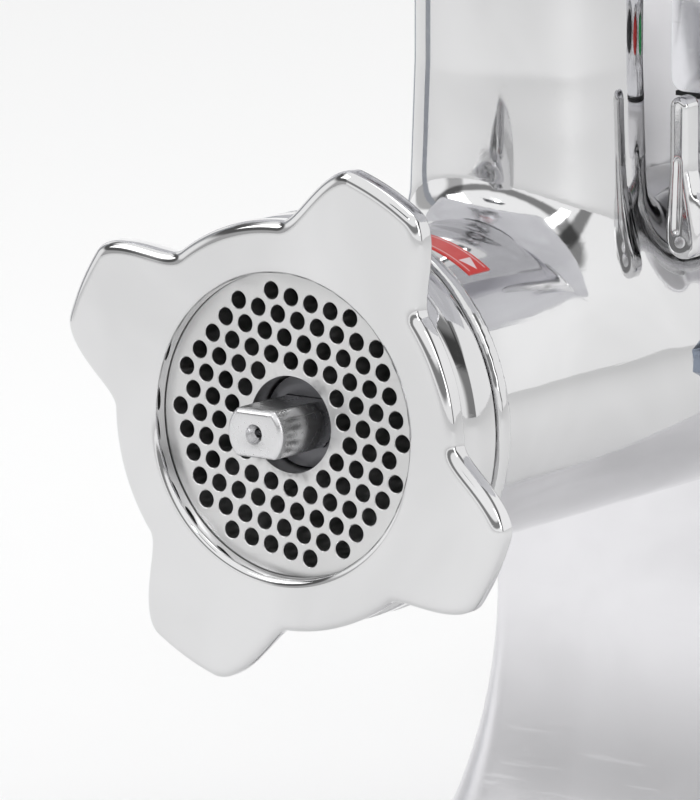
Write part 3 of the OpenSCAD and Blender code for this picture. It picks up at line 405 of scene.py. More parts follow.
def makeFinish(name, look):
    material = bpy.data.materials.new(name)
    material.use_nodes = True
    tree = material.node_tree
    shader = tree.nodes["Principled BSDF"]
    coords = tree.nodes.new("ShaderNodeTexCoord").outputs["Object"]
    centre = tree.nodes.new("ShaderNodeMapping")
    centre.inputs["Location"].default_value = -Vector(headOrigin)
    tree.links.new(coords, centre.inputs["Vector"])
    coords = centre.outputs[0]
    scratch = placeGroup(tree, scratchGroup, coords, "Density", look["scratchDensity"])
    smudge = placeGroup(tree, smudgeGroup, coords, "Scale", 16.0)
    rough = mathNode(tree, "ADD", mathNode(tree, "MULTIPLY", smudge.outputs["Mask"], look["smudge"]), look["rough"])
    rough = mathNode(tree, "ADD", mathNode(tree, "MULTIPLY", scratch.outputs["Mask"], look["scratch"]), rough, True)
    tree.links.new(rough, shader.inputs["Roughness"])
    tint = tree.nodes.new("ShaderNodeMix")
    tint.data_type = "RGBA"
    tint.inputs["A"].default_value = tuple(0.93 * c for c in look["color"]) + (1,)
    tint.inputs["B"].default_value = tuple(min(1.0, 1.03 * c) for c in look["color"]) + (1,)
    tree.links.new(rampNode(tree, smudge.outputs["Tint"], 0.35, 0.65), tint.inputs["Factor"])
    tree.links.new(tint.outputs["Result"], shader.inputs["Base Color"])
    shader.inputs["Metallic"].default_value = 1.0 if look["kind"] == "metal" else 0.0
    height = mathNode(tree, "MULTIPLY", scratch.outputs["Height"], 0.3)
    if "turned" in look:
        rings = placeGroup(tree, turnedGroup, coords, "Pitch", look["turned"])
        height = mathNode(tree, "ADD", height, rings.outputs["Height"])
    if "grain" in look:
        grain = placeGroup(tree, grainGroup, coords, "Scale", look["grain"])
        height = mathNode(tree, "ADD", height, grain.outputs["Height"])
    bump = tree.nodes.new("ShaderNodeBump")
    bump.inputs["Strength"].default_value = look["bump"]
    bump.inputs["Distance"].default_value = 0.0004
    tree.links.new(height, bump.inputs["Height"])
    if "wave" in look:
        # slow waviness left by hand polishing
        slow = noiseNode(tree, coords, look["waveScale"], 2.0, 0.4)
        wave = tree.nodes.new("ShaderNodeBump")
        wave.inputs["Strength"].default_value = look["wave"]
        wave.inputs["Distance"].default_value = 0.0006
        tree.links.new(slow, wave.inputs["Height"])
        tree.links.new(wave.outputs["Normal"], bump.inputs["Normal"])
    tree.links.new(bump.outputs["Normal"], shader.inputs["Normal"])
    return material


materials = {name: makeFinish(name, look) for name, look in finishes.items()}
for nodeName, item in nodes.items():
    item.data.materials.clear()
    item.data.materials.append(materials[slotOf[nodeName]])
print("finishes are made")

# ---- mesh helpers


def addPiece(name, mesh, node, replaced=None, smoothAngle=None):
    piece = bpy.data.objects.new(name, mesh)
    scene.collection.objects.link(piece)
    if not mesh.materials:
        mesh.materials.append(materials[slotOf[node]])
    shadeSmooth(mesh, smoothAngle)
    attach(piece, bodyOf[node])
    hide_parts(*(replaced or [node]))
    return piece


def shadeSmooth(mesh, angle):
    mesh.polygons.foreach_set("use_smooth", [True] * len(mesh.polygons))
    if angle is not None:
        mesh.set_sharp_from_angle(angle=math.radians(angle))


def meshFromRings(name, rings, closedPath=True, capEnds=False):
    # a grid of points: each ring is closed, rings follow each other, the last joins the first if closedPath
    rings = np.asarray(rings, float)
    m, n = rings.shape[:2]
    idx = np.arange(m * n).reshape(m, n)
    faces = []
    for j in range(m if closedPath else m - 1):
        a, b = idx[j], idx[(j + 1) % m]
        faces += [(a[i], a[(i + 1) % n], b[(i + 1) % n], b[i]) for i in range(n)]
    if capEnds:
        faces += [tuple(idx[0][::-1]), tuple(idx[-1])]
    mesh = bpy.data.meshes.new(name)
    mesh.from_pydata(toRow(rings.reshape(-1, 3)).tolist(), [], [tuple(int(v) for v in f) for f in faces])
    tidyMesh(mesh)
    return mesh


def tidyMesh(mesh, merge=1e-6):
    bm = bmesh.new()
    bm.from_mesh(mesh)
    bmesh.ops.remove_doubles(bm, verts=bm.verts, dist=merge)
    bmesh.ops.dissolve_degenerate(bm, edges=bm.edges, dist=merge)
    bmesh.ops.recalc_face_normals(bm, faces=bm.faces)
    bm.to_mesh(mesh)
    bm.free()
    mesh.update()


def lathe(name, profile, centre=(0, 0, 0), axis="y", steps=128):
    # turns a closed profile of (radius, height) pairs about an axis
    angles = np.linspace(0, 2 * math.pi, steps, endpoint=False)
    rings = []
    for r, h in profile:
        u, v = r * np.cos(angles), r * np.sin(angles)
        flat = np.full(steps, float(h))
        rings.append(np.stack({"y": (u, flat, v), "z": (u, v, flat), "x": (flat, u, v)}[axis], 1) + np.array(centre))
    return meshFromRings(name, rings, closedPath=True)


def roundedProfile(corners, radius, steps=4):
    # rounds each corner of a closed polygon; radius may be a number or a list
    out = []
    count = len(corners)
    for i, p in enumerate(corners):
        p = np.array(p, float)
        before, after = np.array(corners[i - 1], float), np.array(corners[(i + 1) % count], float)
        r = radius[i] if isinstance(radius, (list, tuple)) else radius
        u, v = before - p, after - p
        lu, lv = np.linalg.norm(u), np.linalg.norm(v)
        u, v = u / lu, v / lv
        cut = min(r, 0.45 * lu, 0.45 * lv)
        if cut < 1e-4:
            out.append(tuple(p))
            continue
        for k in range(steps + 1):
            t = k / steps
            out.append(tuple((1 - t) ** 2 * (p + u * cut) + 2 * t * (1 - t) * p + t * t * (p + v * cut)))
    return out


# ---- solids by distance: fields are in millimetres about the head's origin


def roundUnion(a, b, r):
    return np.maximum(r, np.minimum(a, b)) - np.hypot(np.maximum(r - a, 0), np.maximum(r - b, 0))


def roundCut(a, b, r):
    # a without b, with the new edge rounded by r
    c = -b
    return np.minimum(-r, np.maximum(a, c)) + np.hypot(np.maximum(r + a, 0), np.maximum(r + c, 0))


def boxField(p, low, high, r=0.0):
    low, high = np.array(low, float), np.array(high, float)
    q = np.abs(p - (low + high) / 2) - (high - low) / 2 + r
    return np.linalg.norm(np.maximum(q, 0), axis=-1) + np.minimum(q.max(-1), 0) - r


def barField(p, axis, centre, radius, low, high, r=0.0):
    # a cylinder along an axis with its rims rounded by r
    others = [k for k in range(3) if k != axis]
    radial = np.hypot(p[..., others[0]] - centre[0], p[..., others[1]] - centre[1]) - radius + r
    along = np.abs(p[..., axis] - (low + high) / 2) - (high - low) / 2 + r
    return np.hypot(np.maximum(radial, 0), np.maximum(along, 0)) + np.minimum(np.maximum(radial, along), 0) - r


def meshFromField(name, field, low, high, voxel, merge=0.15):
    low, high = np.array(low, float), np.array(high, float)
    count = np.ceil((high - low) / voxel).astype(int) + 1
    axes = [low[k] + voxel * np.arange(count[k]) for k in range(3)]
    grid = np.stack(np.meshgrid(*axes, indexing="ij"), -1)
    values = np.empty(tuple(count), np.float32)
    for i in range(count[0]):
        values[i] = field(grid[i])
    band = 3 * voxel
    volume = openvdb.FloatGrid(background=band)
    volume.copyFromArray(np.clip(values, -band, band))
    points, quads = volume.convertToQuads(0.0)
    points = np.asarray(points, float) * voxel + low
    step = 0.02
    for _ in range(4):
        d = field(points)
        grad = np.stack([(field(points + step * np.eye(3)[k]) - field(points - step * np.eye(3)[k])) / (2 * step)
                         for k in range(3)], -1)
        size = np.maximum((grad ** 2).sum(-1), 0.2)
        move = np.clip(d / size, -0.4 * voxel, 0.4 * voxel)
        points = points - move[:, None] * grad
    mesh = bpy.data.meshes.new(name)
    mesh.from_pydata(toRow(points).tolist(), [], [tuple(int(v) for v in q) for q in np.asarray(quads)])
    tidyMesh(mesh, merge * mm)
    return mesh


def softCopy(node, width, segments=2, angle=32, smoothAngle=40, steps=0.4):
    # the CAD node's own shape with its sharp edges broken
    mesh = nodes[node].data.copy()
    bm = bmesh.new()
    bm.from_mesh(mesh)
    bmesh.ops.remove_doubles(bm, verts=bm.verts, dist=2e-6)
    bmesh.ops.dissolve_limit(bm, angle_limit=math.radians(steps), verts=bm.verts, edges=bm.edges)
    bm.to_mesh(mesh)
    bm.free()
    helper = bpy.data.objects.new("softHelper", mesh)
    scene.collection.objects.link(helper)
    bevel = helper.modifiers.new("breakEdges", "BEVEL")
    bevel.width, bevel.segments = width * mm, segments
    bevel.limit_method, bevel.angle_limit = "ANGLE", math.radians(angle)
    bevel.use_clamp_overlap = True
    bevel.harden_normals = False
    shape = bpy.data.meshes.new_from_object(helper.evaluated_get(bpy.context.evaluated_depsgraph_get()))
    bpy.data.objects.remove(helper)
    shape.name = node + "Soft"
    return addPiece(node + "_finished", shape, node, smoothAngle=smoothAngle)


# ---- grinding head

headLow, headHigh = span("grinding_head")
ringLow, ringHigh = span("ring_nut")
head = {
    "barrelR": 40.7, "boreR": 35.0, "threadR": 45.15, "beadR": 51.0, "beadFrom": ringHigh[1] + 1.9, "beadTo": ringHigh[1] + 6.8,
    "neckY": 104.0, "neckLowR": 30.1, "neckHighR": 28.9, "neckFrom": 41.0, "neckTo": 78.0, "neckBoreR": 25.5,
    "neckTop": headHigh[2], "rear": 185.0, "fillet": 11.0, "seatR": 41.15, "chamberR": 38.0, "earX": 41.3, "earZ": 40.0,
    "voxel": 1.3,
}


def headField(p):
    x, y, z = p[..., 0], p[..., 1], p[..., 2]
    h = head
    barrel = barField(p, 1, (0, 0), h["barrelR"], 2.0, h["rear"], 1.0)
    lean = np.clip((z - h["neckFrom"]) / (h["neckTo"] - h["neckFrom"]), 0, 1)
    neckR = h["neckLowR"] + (h["neckHighR"] - h["neckLowR"]) * lean
    radial = np.hypot(x, y - h["neckY"]) - neckR
    neck = np.maximum(radial, -z)
    neck = roundCut(neck, h["neckTop"] - z, 1.2)
    solid = roundUnion(barrel, neck, h["fillet"])
    thread = barField(p, 1, (0, 0), h["threadR"], 1.0, h["beadFrom"] + 2, 0.6)
    bead = barField(p, 1, (0, 0), h["beadR"], h["beadFrom"], h["beadTo"], 1.6)
    solid = roundUnion(solid, bead, 5.0)
    solid = np.minimum(solid, thread)
    spigot = barField(p, 1, (0, 0), 38.0, h["rear"] - 4, headHigh[1], 0.8)
    solid = np.minimum(solid, spigot)
    for side in (-1, 1):
        ear = barField(p, 1, (side * h["earX"], h["earZ"]), 9.0, h["rear"] - 12, h["rear"], 1.2)
        turn = math.atan2(h["earZ"], h["earX"])
        q = np.stack([side * x * math.cos(turn) + z * math.sin(turn), y,
                      z * math.cos(turn) - side * x * math.sin(turn)], -1)
        web = boxField(q, (30, h["rear"] - 12, -7.5), (57, h["rear"], 7.5), 1.2)
        solid = roundUnion(solid, np.minimum(ear, web), 3.0)
    hollow = barField(p, 1, (0, 0), h["boreR"], 20, 158, 0.5)
    hollow = np.minimum(hollow, barField(p, 1, (0, 0), h["chamberR"], 8, 24, 0.5))
    hollow = np.minimum(hollow, barField(p, 2, (0, h["neckY"]), h["neckBoreR"], 0, h["neckTop"] + 9, 0.5))
    solid = roundCut(solid, hollow, 0.8)
    solid = roundCut(solid, barField(p, 1, (0, 0), h["seatR"], -9, 10, 0.3), 0.5)
    solid = roundCut(solid, barField(p, 1, (0, 0), 19.0, 150, 172.5, 0.3), 0.5)
    solid = roundCut(solid, barField(p, 1, (0, 0), 24.0, 172, 210, 0.3), 0.5)
    for side in (-1, 1):
        solid = roundCut(solid, barField(p, 1, (side * h["earX"], h["earZ"]), 4.88, 160, 200, 0.2), 0.5)
    return solid


headMesh = meshFromField("headShape", headField, headLow - 4, headHigh + 4, head["voxel"])
addPiece("polished_head", headMesh, "grinding_head", smoothAngle=50)
print("grinding head:", len(headMesh.polygons), "faces")

# ---- ring nut

ringLook = {
    "turn": 64.0, "waist": 51.2, "tip": 68.5, "flat": 8.0, "end": 27.0, "openR": 38.0, "skirtR": 51.0, "hollowR": 49.0, "innerR": 45.5,
    "front": ringLow[1], "back": ringLow[1] + 6.5, "skirtEnd": ringHigh[1], "lipBack": -0.3, "steps": 720, "edge": 1.5, "softWide": 3.4, "softDeep": 2.8,
}


def ringOutline(look):
    angle = np.linspace(0, 2 * math.pi, look["steps"], endpoint=False)
    offset = np.mod(np.degrees(angle) - look["turn"] + 45, 90) - 45
    share = np.clip((look["end"] - np.abs(offset)) / (look["end"] - look["flat"]), 0, 1)
    radius = look["waist"] + (look["tip"] - look["waist"]) * share ** 2 * (3 - 2 * share)
    points = np.stack([radius * np.cos(angle), radius * np.sin(angle)], 1)
    along = np.roll(points, -1, 0) - np.roll(points, 1, 0)
    normal = np.stack([along[:, 1], -along[:, 0]], 1)
    return angle, points, normal / np.linalg.norm(normal, axis=1)[:, None]


def makeRingNut(look):
    angle, outline, normal = ringOutline(look)
    unit = np.stack([np.cos(angle), np.sin(angle)], 1)
    rings = []

    def addRing(flat, y):
        rings.append(np.stack([flat[:, 0], np.full(len(flat), y), flat[:, 1]], 1))

    e, wide, deep = look["edge"], look["softWide"], look["softDeep"]
    front, back = look["front"], look["back"]
    for r, y in ((look["openR"], look["lipBack"]), (look["openR"], front + 1.4), (look["openR"] + 0.25, front + 0.8),
                 (look["openR"] + 0.9, front + 0.25), (look["openR"] + 1.7, front + 0.03)):
        addRing(unit * r, y)
    for k in (0.0, 0.25, 0.5, 0.75, 1.0):
        start = look["openR"] + 2.2
        addRing(unit * start * (1 - k) + (outline - normal * (wide + 0.3)) * k, front)
    for k in range(11):
        a = math.radians(90 * k / 10)
        addRing(outline - normal * (wide * (1 - math.sin(a))), front + deep * (1 - math.cos(a)))
    # the rear edge shrinks where a lobe runs out at the skirt
    rear = np.clip((np.linalg.norm(outline, axis=1) - look["hollowR"]) * 0.8, 0.05, e)[:, None]
    for k in range(7):
        a = math.radians(90 * k / 6)
        addRing(outline - normal * (rear * (1 - math.cos(a))), back - rear[:, 0] * (1 - math.sin(a)))
    # the rear of a lobe runs in to the skirt with a soft hollow
    for k, lift in ((0.35, 0.1), (0.7, 0.4), (0.88, 0.9), (1.0, 1.8)):
        inner = unit * look["hollowR"]
        addRing((outline - normal * rear) * (1 - k) + inner * k, back + lift)
    for r, y in ((look["hollowR"] + 0.3, back + 3.2), (look["skirtR"] - 0.5, back + 5.2), (look["skirtR"], back + 6.6),
                 (look["skirtR"], look["skirtEnd"] - 1.2), (look["skirtR"] - 0.35, look["skirtEnd"] - 0.35),
                 (look["skirtR"] - 1.2, look["skirtEnd"]), (look["innerR"] + 0.6, look["skirtEnd"]),
                 (look["innerR"], look["skirtEnd"] - 0.6), (look["innerR"], look["lipBack"])):
        addRing(unit * r, y)
    return meshFromRings("ringShape", rings)


addPiece("lobed_ring", makeRingNut(ringLook), "ring_nut", smoothAngle=35)
print("ring nut is turned")

# ---- hole plate: faces are cut here, the walls of the holes come from a node tree

plateLook = {"radius": 41.0, "thick": plateHigh.y - plateLow.y, "boreR": 12.0, "holeR": 2.2, "pitch": 6.0, "turn": -11.0,
             "nearest": 7, "farthest": 31, "chamfer": 0.22, "rim": 0.5, "sides": 28, "rimSides": 160}


def holeCentres(look):
    turn = math.radians(look["turn"])
    centres = []
    for i in range(-6, 7):
        for j in range(-6, 7):
            d = i * i + i * j + j * j
            if look["nearest"] <= d <= look["farthest"]:
                u, v = look["pitch"] * (i + j / 2), look["pitch"] * j * math.sqrt(3) / 2
                centres.append((u * math.cos(turn) - v * math.sin(turn), u * math.sin(turn) + v * math.cos(turn)))
    return centres


def circlePoints(r, count, centre=(0, 0)):
    return [(centre[0] + r * math.cos(2 * math.pi * k / count), centre[1] + r * math.sin(2 * math.pi * k / count))
            for k in range(count)]


def holeTree():
    tree = bpy.data.node_groups.new("holeWalls", "GeometryNodeTree")
    face = tree.interface
    face.new_socket("Geometry", in_out="INPUT", socket_type="NodeSocketGeometry")
    for label, value in (("Hole Radius", 0.0022), ("Chamfer", 0.0002), ("Thickness", 0.01)):
        face.new_socket(label, in_out="INPUT", socket_type="NodeSocketFloat").default_value = value
    face.new_socket("Sides", in_out="INPUT", socket_type="NodeSocketInt").default_value = 28
    face.new_socket("Finish", in_out="INPUT", socket_type="NodeSocketMaterial")
    face.new_socket("Geometry", in_out="OUTPUT", socket_type="NodeSocketGeometry")
    new = tree.nodes.new
    given, out = new("NodeGroupInput"), new("NodeGroupOutput")

    def arithmetic(operation, a, b):
        node = new("ShaderNodeMath")
        node.operation = operation
        for slot, value in ((0, a), (1, b)):
            if isinstance(value, (int, float)):
                node.inputs[slot].default_value = value
            else:
                tree.links.new(value, node.inputs[slot])
        return node.outputs[0]

    wide = arithmetic("ADD", given.outputs["Hole Radius"], given.outputs["Chamfer"])
    wallDepth = arithmetic("SUBTRACT", given.outputs["Thickness"], arithmetic("MULTIPLY", given.outputs["Chamfer"], 2.0))
    join = new("GeometryNodeJoinGeometry")
    # three open tubes end to end: chamfer, wall, chamfer
    for top, bottom, depth, base in (
        (given.outputs["Hole Radius"], wide, given.outputs["Chamfer"], 0.0),
        (given.outputs["Hole Radius"], given.outputs["Hole Radius"], wallDepth, given.outputs["Chamfer"]),
        (wide, given.outputs["Hole Radius"], given.outputs["Chamfer"], arithmetic("ADD", wallDepth, given.outputs["Chamfer"])),
    ):
        cone = new("GeometryNodeMeshCone")
        cone.fill_type = "NONE"
        tree.links.new(given.outputs["Sides"], cone.inputs["Vertices"])
        tree.links.new(top, cone.inputs["Radius Top"])
        tree.links.new(bottom, cone.inputs["Radius Bottom"])
        tree.links.new(depth, cone.inputs["Depth"])
        shift = new("GeometryNodeTransform")
        lift = new("ShaderNodeCombineXYZ")
        if isinstance(base, float):
            lift.inputs["Z"].default_value = base
        else:
            tree.links.new(base, lift.inputs["Z"])
        tree.links.new(cone.outputs["Mesh"], shift.inputs["Geometry"])
        tree.links.new(lift.outputs[0], shift.inputs["Translation"])
        tree.links.new(shift.outputs[0], join.inputs[0])
    # the tubes stand along the plate's axis
    stand = new("GeometryNodeTransform")
    stand.inputs["Rotation"].default_value = (-math.pi / 2, 0, 0)
    tree.links.new(join.outputs[0], stand.inputs["Geometry"])
    place = new("GeometryNodeInstanceOnPoints")
    tree.links.new(given.outputs["Geometry"], place.inputs["Points"])
    tree.links.new(stand.outputs[0], place.inputs["Instance"])
    solid = new("GeometryNodeRealizeInstances")
    tree.links.new(place.outputs[0], solid.inputs[0])
    paint = new("GeometryNodeSetMaterial")
    tree.links.new(solid.outputs[0], paint.inputs["Geometry"])
    tree.links.new(given.outputs["Finish"], paint.inputs["Material"])
    tree.links.new(paint.outputs[0], out.inputs[0])
    return tree


def runTree(name, mesh, tree, values):
    # evaluates a node tree on a mesh and gives back a plain mesh
    helper = bpy.data.objects.new(name + "Helper", mesh)
    scene.collection.objects.link(helper)
    modifier = helper.modifiers.new("tree", "NODES")
    modifier.node_group = tree
    for item in tree.interface.items_tree:
        if item.item_type == "SOCKET" and item.in_out == "INPUT" and item.name in values:
            modifier[item.identifier] = values[item.name]
    helper.update_tag()
    bpy.context.view_layer.update()
    shape = bpy.data.meshes.new_from_object(helper.evaluated_get(bpy.context.evaluated_depsgraph_get()))
    helper.modifiers.remove(modifier)
    bpy.data.objects.remove(helper)
    shape.name = name
    return shape


def makePlate(look):
    thick = look["thick"] / mm
    centres = holeCentres(look)
    seeds = bpy.data.meshes.new("holeSeeds")
    seeds.from_pydata(toRow([(u, 0, v) for u, v in centres]).tolist(), [], [])
    walls = runTree("holeWallMesh", seeds, holeTree(), {
        "Hole Radius": look["holeR"] * mm, "Chamfer": look["chamfer"] * mm, "Thickness": look["thick"],
        "Sides": look["sides"], "Finish": materials["hardened_steel"]})
    # both faces, cut by a constrained triangulation round every hole
    wide = look["holeR"] + look["chamfer"]
    loops = [circlePoints(look["radius"] - look["rim"], look["rimSides"]),
             circlePoints(look["boreR"] + look["rim"], look["rimSides"])]
    loops += [circlePoints(wide, look["sides"], c) for c in centres]
    points, edges = [], []
    for loop in loops:
        first = len(points)
        points += [Vector(p) for p in loop]
        edges += [(first + k, first + (k + 1) % len(loop)) for k in range(len(loop))]
    cut = delaunay_2d_cdt(points, edges, [], 0, 1e-5)
    flat, triangles = cut[0], cut[2]
    rim, bore = look["radius"] - look["rim"], look["boreR"] + look["rim"]
    centreArray = np.array(centres)
    kept = []
    for face in triangles:
        c = sum((flat[v] for v in face), Vector((0, 0))) / len(face)
        near = np.hypot(centreArray[:, 0] - c.x, centreArray[:, 1] - c.y).min()
        if bore * 0.999 < c.length < rim and near > wide * 0.995:
            kept.append(tuple(face))
    bm = bmesh.new()
    bm.from_mesh(walls)
    for y, flip in ((0.0, False), (thick, True)):
        verts = [bm.verts.new(toRow((p.x, y, p.y))) for p in flat]
        for face in kept:
            bm.faces.new([verts[v] for v in (face[::-1] if flip else face)])
    count = look["rimSides"]
    for wall, sign in ((look["radius"], -1), (look["boreR"], 1)):
        soft = look["rim"]
        rows = [(wall + sign * soft, 0), (wall + sign * soft * 0.3, soft * 0.3), (wall, soft), (wall, thick - soft),
                (wall + sign * soft * 0.3, thick - soft * 0.3), (wall + sign * soft, thick)]
        previous = None
        for r, y in rows:
            row = [bm.verts.new(toRow((u, y, v))) for u, v in circlePoints(r, count)]
            if previous:
                for k in range(count):
                    bm.faces.new((previous[k], previous[(k + 1) % count], row[(k + 1) % count], row[k]))
            previous = row
    bmesh.ops.remove_doubles(bm, verts=bm.verts, dist=2e-5)
    loose = [v for v in bm.verts if not v.link_faces]
    bmesh.ops.delete(bm, geom=loose, context="VERTS")
    bmesh.ops.recalc_face_normals(bm, faces=bm.faces)
    mesh = bpy.data.meshes.new("plateShape")
    bm.to_mesh(mesh)
    bm.free()
    return mesh


addPiece("drilled_plate", makePlate(plateLook), "hole_plate", smoothAngle=30)
print("hole plate is drilled")

# ---- stud and knife

studLook = {"r": 8.2, "flat": 6.0, "front": span("auger_stud")[0][1], "flatsEnd": 20.0, "back": span("auger_stud")[1][1],
            "chamfer": 1.0, "holeR": 2.2, "holeDepth": 8.8, "sides": 96}


def makeStud(look):
    angle = np.linspace(0, 2 * math.pi, look["sides"], endpoint=False)

    def section(grow, y, flats=True):
        r = look["r"] + grow
        u, v = r * np.cos(angle), r * np.sin(angle)
        if flats:
            v = np.clip(v, -look["flat"] - grow, look["flat"] + grow)
        return np.stack([u, np.full(len(angle), y), v], 1)

    def circle(r, y):
        return np.stack([r * np.cos(angle), np.full(len(angle), y), r * np.sin(angle)], 1)

    f, c = look["front"], look["chamfer"]
    rings = [circle(0.01, f + look["holeDepth"]), circle(look["holeR"] * 0.55, f + 8.0), circle(look["holeR"] * 0.55, f + 2.2),
             circle(look["holeR"], f + 0.9), circle(look["holeR"] + 0.25, f + 0.1), circle(look["holeR"] + 0.6, f)]
    rings += [section(-c - 0.4, f), section(-c, f + 0.05), section(-c * 0.55, f + c * 0.35), section(-0.15, f + c * 0.85), section(0, f + c * 1.15)]
    rings += [section(0, y) for y in np.linspace(f + 3, look["flatsEnd"] - 0.4, 6)]
    rings += [section(0, look["flatsEnd"], False), section(0, look["back"] - 1, False), section(-0.8, look["back"], False),
              circle(0.01, look["back"])]
    return meshFromRings("studShape", rings, closedPath=False, capEnds=True)


addPiece("drive_stud", makeStud(studLook), "auger_stud", smoothAngle=28)
# painted shade: the knife's steel colour is set near black so the holes in front of it look as dark as the shaded
# chamber behind the plate
knifePaintedShadeSteel = makeFinish("knifeSteelPaintedShade", dict(finishes["hardened_steel"], color=(0.16, 0.16, 0.17), rough=0.42))
softCopy("knife", 0.5).data.materials[0] = knifePaintedShadeSteel
print("stud and knife are ground")

# ---- body casting

bodyLow, bodyHigh = span("body_casting")
bodyLook = {"halfW": 67.0, "front": 185.0, "back": 420.0, "caseEnd": 285.0, "top": 96.0, "base": bodyLow[2], "flareZ": -80.0,
            "flareR": 150.0, "corner": 6.0, "topR": 12.0, "wall": 7.0, "deck": -92.0, "deckT": 6.0, "sump": -114.0,
            "voxel": 2.4, "edge": 2.0}


def flareOut(z):
    drop = np.clip(bodyLook["flareZ"] - z, 0, bodyLook["flareR"] - 1)
    return bodyLook["flareR"] - np.sqrt(bodyLook["flareR"] ** 2 - drop ** 2)


def columnField(p, inset, grow):
    # distance to an upright column with rounded corners whose sides move out by grow
    b = bodyLook
    mid = (b["front"] + b["back"]) / 2
    r = np.maximum(2, b["corner"] + grow - inset)
    qx = np.abs(p[..., 0]) - (b["halfW"] + grow - inset) + r
    qy = np.abs(p[..., 1] - mid) - ((b["back"] - b["front"]) / 2 + grow - inset) + r
    return np.hypot(np.maximum(qx, 0), np.maximum(qy, 0)) + np.minimum(np.maximum(qx, qy), 0) - r


def rectField(a, b, lowA, highA, lowB, highB, r):
    qa = np.abs(a - (lowA + highA) / 2) - (highA - lowA) / 2 + r
    qb = np.abs(b - (lowB + highB) / 2) - (highB - lowB) / 2 + r
    return np.hypot(np.maximum(qa, 0), np.maximum(qb, 0)) + np.minimum(np.maximum(qa, qb), 0) - r


def bodyField(p):
    b = bodyLook
    x, y, z = p[..., 0], p[..., 1], p[..., 2]
    grow = flareOut(z)
    slope = np.clip((b["flareZ"] - z) / b["flareR"], 0, 0.95)
    lean = np.sqrt(1 - slope ** 2)
    column = columnField(p, 0, grow) * lean
    arch = rectField(x, z, -b["halfW"], b["halfW"], b["flareZ"] - 60, b["top"], b["topR"])
    block = roundCut(np.maximum(column, arch), b["caseEnd"] - y, b["edge"] * 0.5)
    block = np.maximum(block, b["deck"] + b["deckT"] - 1 - z)
    foot = roundCut(column, -(z - b["deck"] - b["deckT"]), b["edge"] * 0.5)
    foot = roundCut(foot, z - b["base"], b["edge"] * 0.5)
    solid = np.minimum(block, foot)
    inner = columnField(p, b["wall"] - 1, grow) * lean
    hollow = np.maximum(inner, z - b["deck"])
    solid = np.maximum(solid, -hollow)
    half = b["halfW"] - b["wall"]
    sump = boxField(p, (-half - 6, b["front"] - 30, b["sump"] - 6), (half + 6, b["caseEnd"], b["deck"] + 2), 1.0)
    sump = np.maximum(sump, columnField(p, 1, grow) * lean)
    solid = np.minimum(solid, sump)
    chamber = boxField(p, (-half, b["front"] + 10, b["sump"]), (half, b["caseEnd"] + 20, b["top"] - b["wall"]), 2.0)
    above = np.maximum(chamber, b["deck"] + b["deckT"] - z)
    chamber = np.minimum(above, np.maximum(chamber, y - b["caseEnd"]))
    solid = np.maximum(solid, -chamber)
    boss = barField(p, 1, (0, 0), 41.0, b["front"] + 5, b["front"] + 31, 1.0)
    solid = roundUnion(solid, boss, 3.0)
    shelf = boxField(p, shelfLow, shelfHigh, 2.5)
    shelf = roundCut(shelf, barField(p, 1, (41.3, 40.0), 10.0, b["front"] - 40, b["front"], 0.3), 0.8)
    solid = roundUnion(solid, shelf, 3.0)
    midX, midZ = span("intermediate_shaft")[0], span("intermediate_shaft")[1]
    cx, cz = (midX[0] + midZ[0]) / 2, (midX[2] + midZ[2]) / 2
    solid = np.minimum(solid, barField(p, 1, (cx, cz), 20.0, b["front"] + 9, b["front"] + 24, 0.6))
    solid = roundCut(solid, barField(p, 1, (0, 0), 38.3, b["front"] - 9, b["front"] + 8, 0.3), 0.8)
    solid = roundCut(solid, barField(p, 1, (0, 0), 24.0, b["front"] + 6, b["front"] + 14.5, 0.3), 0.3)
    solid = roundCut(solid, barField(p, 1, (0, 0), 31.0, b["front"] + 15, b["front"] + 40, 0.3), 0.5)
    solid = np.maximum(solid, -barField(p, 1, (0, 0), 19.0, b["front"] + 6, b["front"] + 17, 0.3))
    solid = np.maximum(solid, -barField(p, 1, (cx, cz), 17.0, b["front"] + 13, b["front"] + 30, 0.3))
    for side in (-1, 1):
        solid = np.maximum(solid, -barField(p, 1, (side * 41.3, 40.0), 4.88, b["front"] - 2, b["front"] + 15, 0.2))
    return solid


boxLow, boxHigh = span("control_box")
shelfLow = (boxLow[0], boxLow[1], boxLow[2] - 16.2)
shelfHigh = (boxHigh[0], bodyLook["front"] + 4, boxLow[2] - 1.2)
bodyMesh = meshFromField("bodyShape", bodyField, bodyLow - 6, bodyHigh + 6, bodyLook["voxel"])
addPiece("polished_body", bodyMesh, "body_casting", smoothAngle=50)
print("body casting:", len(bodyMesh.polygons), "faces")

# ---- clamp levers

leverLook = {"x": 41.3, "z": 40.0, "thick": 7.0, "length": 28.0, "voxel": 0.55}


